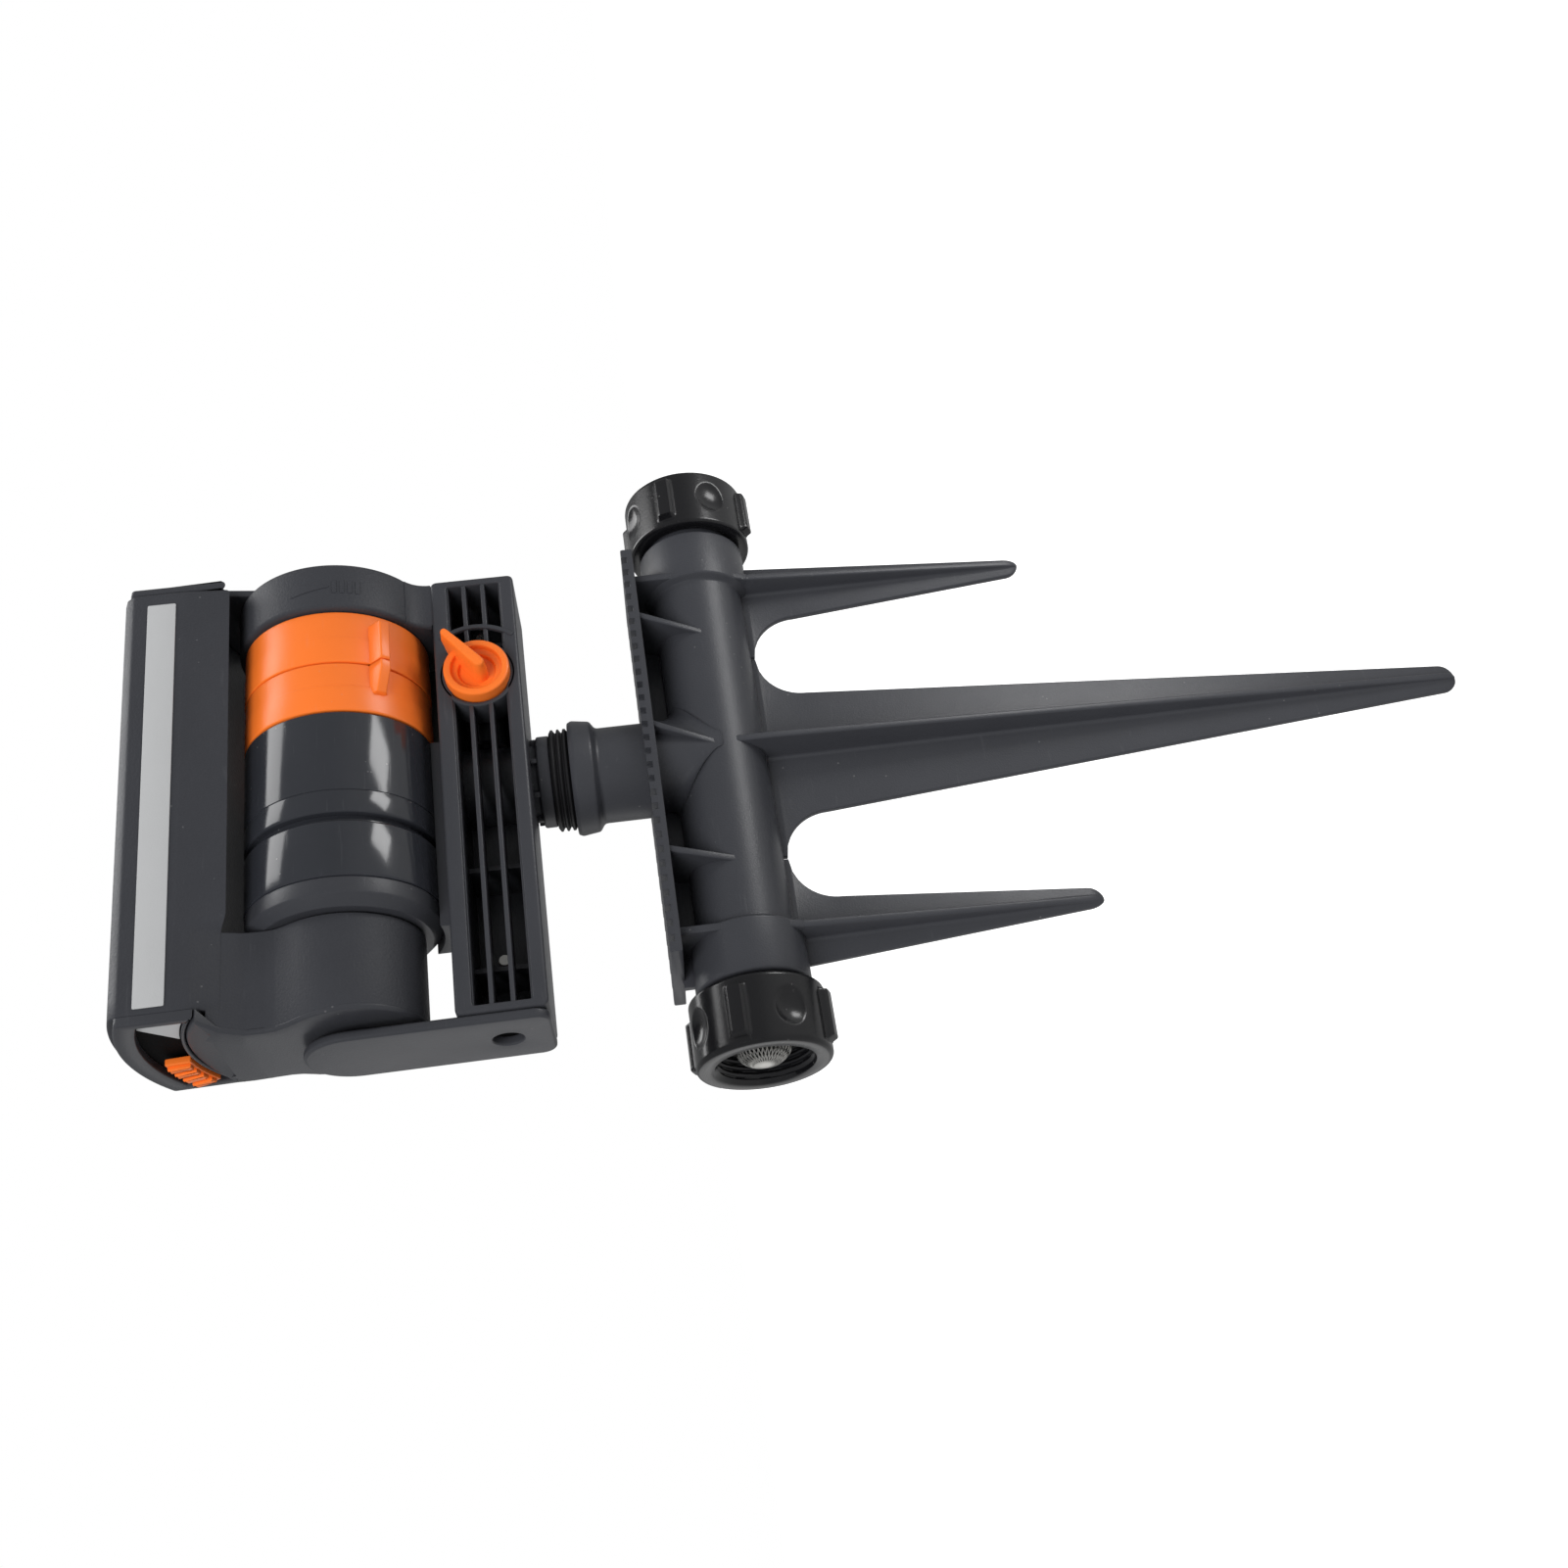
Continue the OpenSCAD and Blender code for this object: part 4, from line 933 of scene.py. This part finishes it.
# ---------------------------------------------------------------- flow knob
def lever_blade():
    """Lever over the flow knob: a plan outline carried outwards, drawn in a little at the top; it points
    51 degrees from the vertical towards the far end."""
    c, s = math.cos(LEVER_TURN), math.sin(LEVER_TURN)
    plan = rounded([(-1.9, -3.6), (1.9, -3.6), (1.7, 4), (1.2, 13.2), (-1.2, 13.2), (-1.7, 4)],
                   [1.8, 1.8, 2, 1.1, 1.1, 2], 5)
    level = np.array([-20.2, -25.0, -28.4, -28.8, -29.0])
    shrink = np.array([1.12, 1.0, 0.82, 0.74, 0.6])
    rings = []
    for y, k in zip(level, shrink):
        u, v = plan[:, 0] * k, 4.8 + (plan[:, 1] - 4.8) * (1 - (1 - k) * 0.12)
        v = np.where((y > -22) & (v > 9), 9 + (v - 9) * 0.35, v)
        rings.append(np.column_stack([KNOB[0] + u * c + v * s, np.full(len(u), y),
                                      KNOB[2] - u * s + v * c]))
    return grid(np.stack(rings), cap_low=True, cap_high=True)


class SPRINKLER_OT_flow_knob(bpy.types.Operator):
    """Round flow knob with its sunk dish, finger pocket and lever"""
    bl_idname = "sprinkler.flow_knob"
    bl_label = "Flow knob"

    def execute(self, context):
        dish = rounded([(-18.7, 0.02), (-18.7, 9), (-24.0, 9), (-24.0, 7.0), (-22.4, 6.8), (-22.2, 5.2),
                        (-21.0, 4.9), (-21.0, 0.02)], [0, 0.3, 0.7, 0.4, 0.4, 0.5, 0.3, 0], 4)
        piece("flow_knob_skin", [revolve(dish, (KNOB[0], 0, KNOB[2]), "y", 96), lever_blade()],
              "flow_knob", ["flow_knob"], "orange")
        return {"FINISHED"}


# ---------------------------------------------------------------- nozzle head
def bar_section(dip):
    """(u, v) outline of the nozzle bar: outer arc, front and back walls with rounded shoulders, inner
    arc. dip from 0 to 1 lets the front and back walls fall away towards the neck below the strip."""
    outer, half, r_in, count = 57.0, 21.2, 32.5, 30
    top = math.degrees(math.asin(half / outer))
    crown = arc(outer, -top + 3.6, top - 3.6, count)
    start_v = 52.9
    low_u = half - 1.1 - 2.6 * dip
    low_v = math.sqrt(r_in ** 2 - low_u ** 2)
    side = rounded([(-half + 1.5, start_v + 0.4), (-half, start_v - 1.8), (-half, 37.4 + 0.6 * dip),
                    (-20.8 + 0.2 * dip, 33.2 + 0.8 * dip), (-low_u, low_v)],
                   [1.5, 1.6, 1.2, 3.0, 0.3], 6, closed=False)
    low = math.degrees(math.asin(low_u / r_in))
    inner = arc(r_in, low, -low, count)
    other = side[::-1] * (-1, 1)
    return np.concatenate([crown, side, inner[1:-1], other])


def bar_surface():
    """Bar outlines carried along x. The side walls are sunk towards the neck over the last 20 mm at the
    near end and rise to their full width over 5 mm more; both ends are quarter rounds."""
    near, near_edge, far, far_edge = -68.0, 0.6, 58.0, 2.0
    x = np.concatenate([np.linspace(near, -48.5, 5), np.linspace(-47.5, -42.0, 9), [0.0, 56.0]])
    outlines = [counter_clockwise(bar_section(dip)) for dip in 1 - smooth_step((x + 47.5) / 5.0)]
    t = np.linspace(0, math.pi / 2, 6)
    rings = [drum_ring(inset(outlines[0], near_edge * (1 - math.sin(a))),
                       near + near_edge * (1 - math.cos(a))) for a in t[:-1]]
    rings += [drum_ring(outline, at) for at, outline in zip(x[1:], outlines[1:])]
    rings += [drum_ring(inset(outlines[-1], far_edge * (1 - math.sin(a))),
                        far - far_edge * (1 - math.cos(a))) for a in t[::-1]]
    return grid(np.stack(rings), cap_low=True, cap_high=True)


def end_outline(outer, inner, half):
    """(u, v) outline between two arcs about the drum axis, cut straight at the given half-width."""
    top, low = math.degrees(math.asin(half / outer)), math.degrees(math.asin(half / inner))
    outline = np.concatenate([arc(outer, top, -top, 24), arc(inner, -low, low, 24)])
    return rounded(outline, two_arc_rims(24, 1.2, 1.2), 4)


NEAR_RIM_V = np.array([-25.0, -3.0, 11.0, 22.0, 27.0, 32.0, 38.6, 60.0])
NEAR_RIM_X = np.array([-72.3, -72.6, -73.9, -74.0, -73.4, -72.0, -70.4, -68.0])


def neck_side(start):
    """(u, v) points down one side of the neck: from start at the bar's sunken wall into a waist of
    half-width 15.2 and out again onto the round about the drum axis."""
    return rounded([start, (-17.45, 27.5), (-15.4, 22.0), (-15.2, 17.0), (-15.6, 14.5), (-17.0, 11.64)],
                   [0, 6, 8, 6, 4, 0], 6, closed=False)


def neck_round():
    """(u, v) points of the neck's 20.6 mm round about the drum axis, from side to side below it."""
    return arc(20.6, 55.6, 304.4, 110)[1:-1]


def neck_surface():
    """Neck carried towards the near end; its rim follows a curve in x and ends in a quarter round."""
    side = neck_side((-18.85, 30.4))
    outline = counter_clockwise(np.concatenate([side, neck_round(), side[::-1] * (-1, 1)]))
    start, edge = -46.8, 1.2
    rim_x = np.interp(outline[:, 1], NEAR_RIM_V, NEAR_RIM_X) + 1.6
    rings = [drum_ring(inset(outline, 0.4), start + 0.4), drum_ring(outline, start)]
    rings += [drum_ring(outline, start + (rim_x - start) * share) for share in (0.25, 0.5, 0.75, 1.0)]
    rings += [drum_ring(inset(outline, edge * (1 - math.cos(a))), rim_x - edge * math.sin(a))
              for a in np.linspace(0.2, 1, 6) * math.pi / 2]
    return grid(np.stack(rings), cap_low=True, cap_high=True)


def face_plate_surface():
    """End face: the neck's sides run up to an arc of 38.6 mm, with a rounded rim that follows the
    neck's curve in x; over the bar it reaches back to the bar's end, and its middle swells a little."""
    side, edge = neck_side((-21.02, 32.37)), 0.9
    top = arc(38.6, -33.0, 33.0, 40)
    outline = counter_clockwise(np.concatenate([top, side[1:], neck_round(),
                                                side[::-1][:-1] * (-1, 1)]))
    rim_x = np.interp(outline[:, 1], NEAR_RIM_V, NEAR_RIM_X)
    rings = [drum_ring(inset(outline, 0.02), np.where(outline[:, 1] > 29, -68.1, rim_x + 1.2))]
    rings += [drum_ring(inset(outline, edge * (1 - math.cos(a))), rim_x + edge - edge * math.sin(a))
              for a in np.linspace(0, 1, 5) * math.pi / 2]
    rings += [drum_ring(inset(outline, draw), np.maximum(rim_x - swell, -74.38))
              for draw, swell in ((3.0, 0.12), (6.5, 0.2))]
    return grid(np.stack(rings), cap_low=True, cap_high=True)


def slot_frame_surface():
    """Frame round the curved slot: outer outline and slot outline with matching points, joined over
    both rims; the frame stands 2.4 mm off the bar's end."""
    n, edge = 36, 0.7
    outer = np.concatenate([arc(55.6, 22.3, -26.7, n), arc(38.9, -38.7, 32.6, n)])
    slot = np.concatenate([arc(50.4, 21.3, -25.3, n), arc(39.9, -32.6, 27.4, n)])
    outer = counter_clockwise(rounded(outer, two_arc_rims(n, 1.5, 0.3), 2))
    slot = counter_clockwise(rounded(slot, 0.05, 2))
    t = np.linspace(0, math.pi / 2, 4)
    depth = np.concatenate([edge * (1 - np.sin(t)), [0, 0]])
    level = np.concatenate([-70.4 + edge * (1 - np.cos(t)), [-69, -68.02]])
    rings = [drum_ring(inset(outer, d), w) for d, w in zip(depth, level)]
    inner = [drum_ring(inset(slot, -d * 0.4), w) for d, w in zip(depth, level)][::-1]
    return grid(np.stack(rings + inner), close_u=True)


def bar_strip():
    """Flush light strip along the front of the bar."""
    low, high = box_mm("trim_strip")
    return block(low, high + (0, 0.02, 0), 0.16, "y", corner=0.4)


def nozzle_profile():
    """Soft nozzle: collar, straight tip and a drilled mouth."""
    return rounded([(53, 0.6), (53, 2.4), (54.6, 2.4), (54.6, 1.55), (58.0, 1.55), (58.9, 1.1), (58.9, 0.6)],
                   [0.1, 0.2, 0.2, 0.1, 0.2, 0.2, 0.1], 3)


class SPRINKLER_OT_nozzle_head(bpy.types.Operator):
    """Swinging bar with its strip, neck, end faces, nozzle strip and eighteen nozzles"""
    bl_idname = "sprinkler.nozzle_head"
    bl_label = "Nozzle head"

    def execute(self, context):
        body = "nozzle_head"
        piece("bar_skin", [bar_surface()], body, ["nozzle_shell"], "anthracite")
        piece("neck_skin", [neck_surface()], body, ["nozzle_neck"], "anthracite")
        piece("near_face_skin", [face_plate_surface()], body, ["near_face"], "anthracite_smooth")
        piece("slot_frame_skin", [slot_frame_surface()], body, ["slot_frame"], "anthracite_smooth")
        # Near-black sheet just behind the slot frame: painted shade that darkens the slot's interior.
        painted_shade_outline = np.concatenate([arc(51.2, 21.6, -25.6, 30), arc(39.2, -33.0, 27.8, 30)])
        piece("slot_painted_shade", [drum_slab(painted_shade_outline, -68.3, -68.05, 0.05, steps=1)], body, ["slot_frame"],
              "deep_shade")
        # Known fault: slot_shade belongs with slot_frame. It names nozzle_plate, so that plate is hidden.
        shade = np.concatenate([arc(50.2, 20.8, 17.5, 6), arc(40.2, 9.5, 26.6, 12)])
        piece("slot_shade", [drum_slab(shade, -69.3, -68.25, 0.15)], body, ["nozzle_plate"], "light_grey")
        lip = drum_slab(end_outline(55.9, 33.3, 20.4), 57.7, 60.2, 1.2)
        cover = drum_slab(end_outline(53.4, 34.6, 17.4), 59.4, 62.0, 1.2)
        arm = rounded([(-11.8, 4), (-11.8, -4), (-8, -9.5), (0, -12), (8, -9.5), (11.8, -4), (11.8, 4),
                       (17, 34), (-17, 34)], [4, 5, 6, 6, 6, 5, 4, 0.5, 0.5], 4)
        arm = dense(about_drum(counter_clockwise(arm)))
        arm = slab(arm, 58.02, 60.2, 0.5, hole=round_hole(arm, DRUM[1:], 6.05))
        piece("far_plate_skin", [lip, cover, arm], body, ["far_plate"], "anthracite_smooth")
        piece("trim_strip_skin", [bar_strip()], body, ["trim_strip"], "light_grey")
        refinish(["nozzle_plate"], "light_grey")
        step = NOZZLE_SPAN / (NOZZLE_COUNT - 1)
        nozzles = [revolve(nozzle_profile(), (NOZZLE_START + i * step, DRUM[1], DRUM[2]), "z", 24)
                   for i in range(NOZZLE_COUNT)]
        piece("nozzle_row", nozzles, body, ["spray_nozzles"], "rubber")
        return {"FINISHED"}


# ---------------------------------------------------------------- width slide
def sector(r0, r1, a0, a1, edge):
    """(u, v) outline between two radii and two angles, with rounded corners."""
    outline = np.concatenate([arc(r1, a0, a1, 16), arc(r0, a1, a0, 16)])
    return rounded(outline, two_arc_rims(16, edge, edge), 3)


def slide_part(r0, r1, half, corner, low, high, edge, middle=SLIDER_AT):
    """Slab of a sector that reaches half degrees to each side of its middle."""
    return drum_slab(sector(r0, r1, middle + half, middle - half, corner), low, high, edge)


class SPRINKLER_OT_width_slide(bpy.types.Operator):
    """Finger slide with four ridges in the curved slot, and the light shutter behind it"""
    bl_idname = "sprinkler.width_slide"
    bl_label = "Width slide"

    def execute(self, context):
        parts = [slide_part(40.1, 46.8, 10.6, 0.4, -71.3, -69.4, 0.35),
                 slide_part(45.7, 46.8, 4, 0.2, -69.6, -60.0, 0.2)]
        parts += [slide_part(40.5, 46.5, 1.5, 0.3, -72.38, -71.0, 0.5, SLIDER_AT + step * 5.0)
                  for step in (-1.5, -0.5, 0.5, 1.5)]
        piece("width_slider_skin", parts, "width_slider", ["width_slider"], "orange")
        shutter = slide_part(45.7, 46.85, 8.9, 0.2, -59.9, 49.9, 0.2)
        piece("width_shutter_skin", [shutter], "width_slider", ["width_shutter"], "light_grey")
        return {"FINISHED"}


# ---------------------------------------------------------------- inner parts
class SPRINKLER_OT_inner_parts(bpy.types.Operator):
    """Finishes on the CAD parts that are shown as they are"""
    bl_idname = "sprinkler.inner_parts"
    bl_label = "Inner parts"

    def execute(self, context):
        refinish(["turbine_wheel", "reduction_gear", "drive_shaft", "bearing_plate", "jet_ring",
                  "knob_spindle"], "gear_plastic")
        refinish(["valve_body"], "dark_plastic")
        refinish(["chassis_screws"], "stainless")
        refinish(["spigot_oring"], "rubber")
        return {"FINISHED"}


# ---------------------------------------------------------------- stage
def pale_surface():
    """Pale floor: nearly even white with a faint cloudy tone."""
    mat = bpy.data.materials.new("pale_floor")
    mat.use_nodes = True
    tree = mat.node_tree
    shader = tree.nodes["Principled BSDF"]
    where = tree.nodes.new("ShaderNodeTexCoord")
    cloud = add(tree, "TexNoise", {"Vector": where.outputs["Object"]}, Scale=1.5, Detail=2.0).outputs[0]
    tree.links.new(blend_colour(tree, cloud, (0.55, 0.55, 0.55, 1), (0.50, 0.50, 0.50, 1)),
                   shader.inputs["Base Color"])
    shader.inputs["Roughness"].default_value = 0.9
    shader.inputs["Specular IOR Level"].default_value = 0.1
    shader.inputs["Emission Color"].default_value = (1, 1, 1, 1)
    seen = tree.nodes.new("ShaderNodeLightPath").outputs["Is Camera Ray"]
    tree.links.new(seen, shader.inputs["Emission Strength"])
    return mat


def soft_light(name, towards, distance, width, height, power):
    """Rectangular soft light at a direction and distance from the head, facing it."""
    light = bpy.data.lights.new(name, "AREA")
    light.shape, light.size, light.size_y, light.energy = "RECTANGLE", width, height, power
    obj = bpy.data.objects.new(name, light)
    target = Vector((0, 0, 0.06))
    obj.location = target + Vector(towards).normalized() * distance
    obj.rotation_euler = (target - obj.location).to_track_quat("-Z", "Y").to_euler()
    obj.visible_camera = False
    bpy.context.scene.collection.objects.link(obj)


class SPRINKLER_OT_stage(bpy.types.Operator):
    """Pale floor, soft lights, pale world and camera"""
    bl_idname = "sprinkler.stage"
    bl_label = "Stage"

    def execute(self, context):
        scene = context.scene
        mesh = bpy.data.meshes.new("floor")
        corner = 6.0
        mesh.from_pydata([(-corner, -corner, FLOOR_Z), (corner, -corner, FLOOR_Z), (corner, corner, FLOOR_Z),
                          (-corner, corner, FLOOR_Z)], [], [(0, 1, 2, 3)])
        mesh.materials.append(pale_surface())
        floor = bpy.data.objects.new("floor", mesh)
        scene.collection.objects.link(floor)

        world = bpy.data.worlds.new("pale_world")
        scene.world = world
        world.use_nodes = True
        tree = world.node_tree
        tree.nodes.clear()
        light = add(tree, "Background", Color=(0.98, 0.99, 1.0, 1), Strength=0.30)
        seen = add(tree, "Background", Color=(1, 1, 1, 1), Strength=1.0)
        from_camera = add(tree, "LightPath").outputs["Is Camera Ray"]
        mix = add(tree, "MixShader", {0: from_camera, 1: light.outputs[0], 2: seen.outputs[0]})
        add(tree, "OutputWorld", {0: mix.outputs[0]})

        sun = bpy.data.lights.new("soft_day", "SUN")
        sun.energy, sun.angle = 2.4, math.radians(40)
        high = bpy.data.objects.new("soft_day", sun)
        high.rotation_euler = Vector((0.52, 0.72, -0.46)).to_track_quat("-Z", "Y").to_euler()
        high.visible_glossy = False
        scene.collection.objects.link(high)
        key = looks().key_light
        soft_light("top_box", (0.486, 0.05, 0.873), 1.0, 0.95, 0.45, key)
        soft_light("near_box", (-0.55, 0.85, 0.05), 0.9, 0.5, 0.5, key * 0.08)
        soft_light("low_box", (0.515, -0.579, -0.634), 0.342, 0.10, 0.12, key * 0.05)

        camera = bpy.data.cameras.new("camera")
        camera.sensor_fit, camera.sensor_width = "HORIZONTAL", CAMERA_SENSOR_MM
        camera.lens = CAMERA_LENS_MM
        camera.clip_start = 0.01
        view = bpy.data.objects.new("camera", camera)
        scene.collection.objects.link(view)
        forward, across = Vector(CAMERA_FORWARD).normalized(), Vector(CAMERA_ACROSS).normalized()
        upward = across.cross(forward).normalized()
        across = forward.cross(upward).normalized()
        turn = Matrix((across, upward, -forward)).transposed()
        view.matrix_world = Matrix.Translation(CAMERA_PLACE) @ turn.to_4x4()
        scene.camera = view
        scene.view_settings.view_transform = "Standard"
        return {"FINISHED"}


# ---------------------------------------------------------------- panel and run
PIECE_OPERATORS = (
    SPRINKLER_OT_spike_base, SPRINKLER_OT_hose_fittings, SPRINKLER_OT_inlet_filter,
    SPRINKLER_OT_head_base, SPRINKLER_OT_drum, SPRINKLER_OT_flow_knob, SPRINKLER_OT_nozzle_head,
    SPRINKLER_OT_width_slide, SPRINKLER_OT_inner_parts, SPRINKLER_OT_stage)


class SPRINKLER_PT_panel(bpy.types.Panel):
    """Sizes, colours and one button per group of pieces"""
    bl_idname = "SPRINKLER_PT_panel"
    bl_label = "Drum sprinkler"
    bl_space_type = "VIEW_3D"
    bl_region_type = "UI"
    bl_category = "Sprinkler"

    def draw(self, context):
        for group in (context.scene.sprinkler_sizes, context.scene.sprinkler_looks):
            column = self.layout.box().column()
            for name in group.__annotations__:
                column.prop(group, name)
        for operator in PIECE_OPERATORS:
            self.layout.operator(operator.bl_idname)


CLASSES = (SprinklerSizes, SprinklerLooks, *PIECE_OPERATORS, SPRINKLER_PT_panel)


def register():
    for cls in CLASSES:
        bpy.utils.register_class(cls)
    bpy.types.Scene.sprinkler_sizes = PointerProperty(type=SprinklerSizes)
    bpy.types.Scene.sprinkler_looks = PointerProperty(type=SprinklerLooks)


def unregister():
    del bpy.types.Scene.sprinkler_looks
    del bpy.types.Scene.sprinkler_sizes
    for cls in reversed(CLASSES):
        bpy.utils.unregister_class(cls)


def main():
    """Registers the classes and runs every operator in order."""
    register()
    for operator in PIECE_OPERATORS:
        group, name = operator.bl_idname.split(".")
        getattr(getattr(bpy.ops, group), name)()


if __name__ == "__main__":
    main()
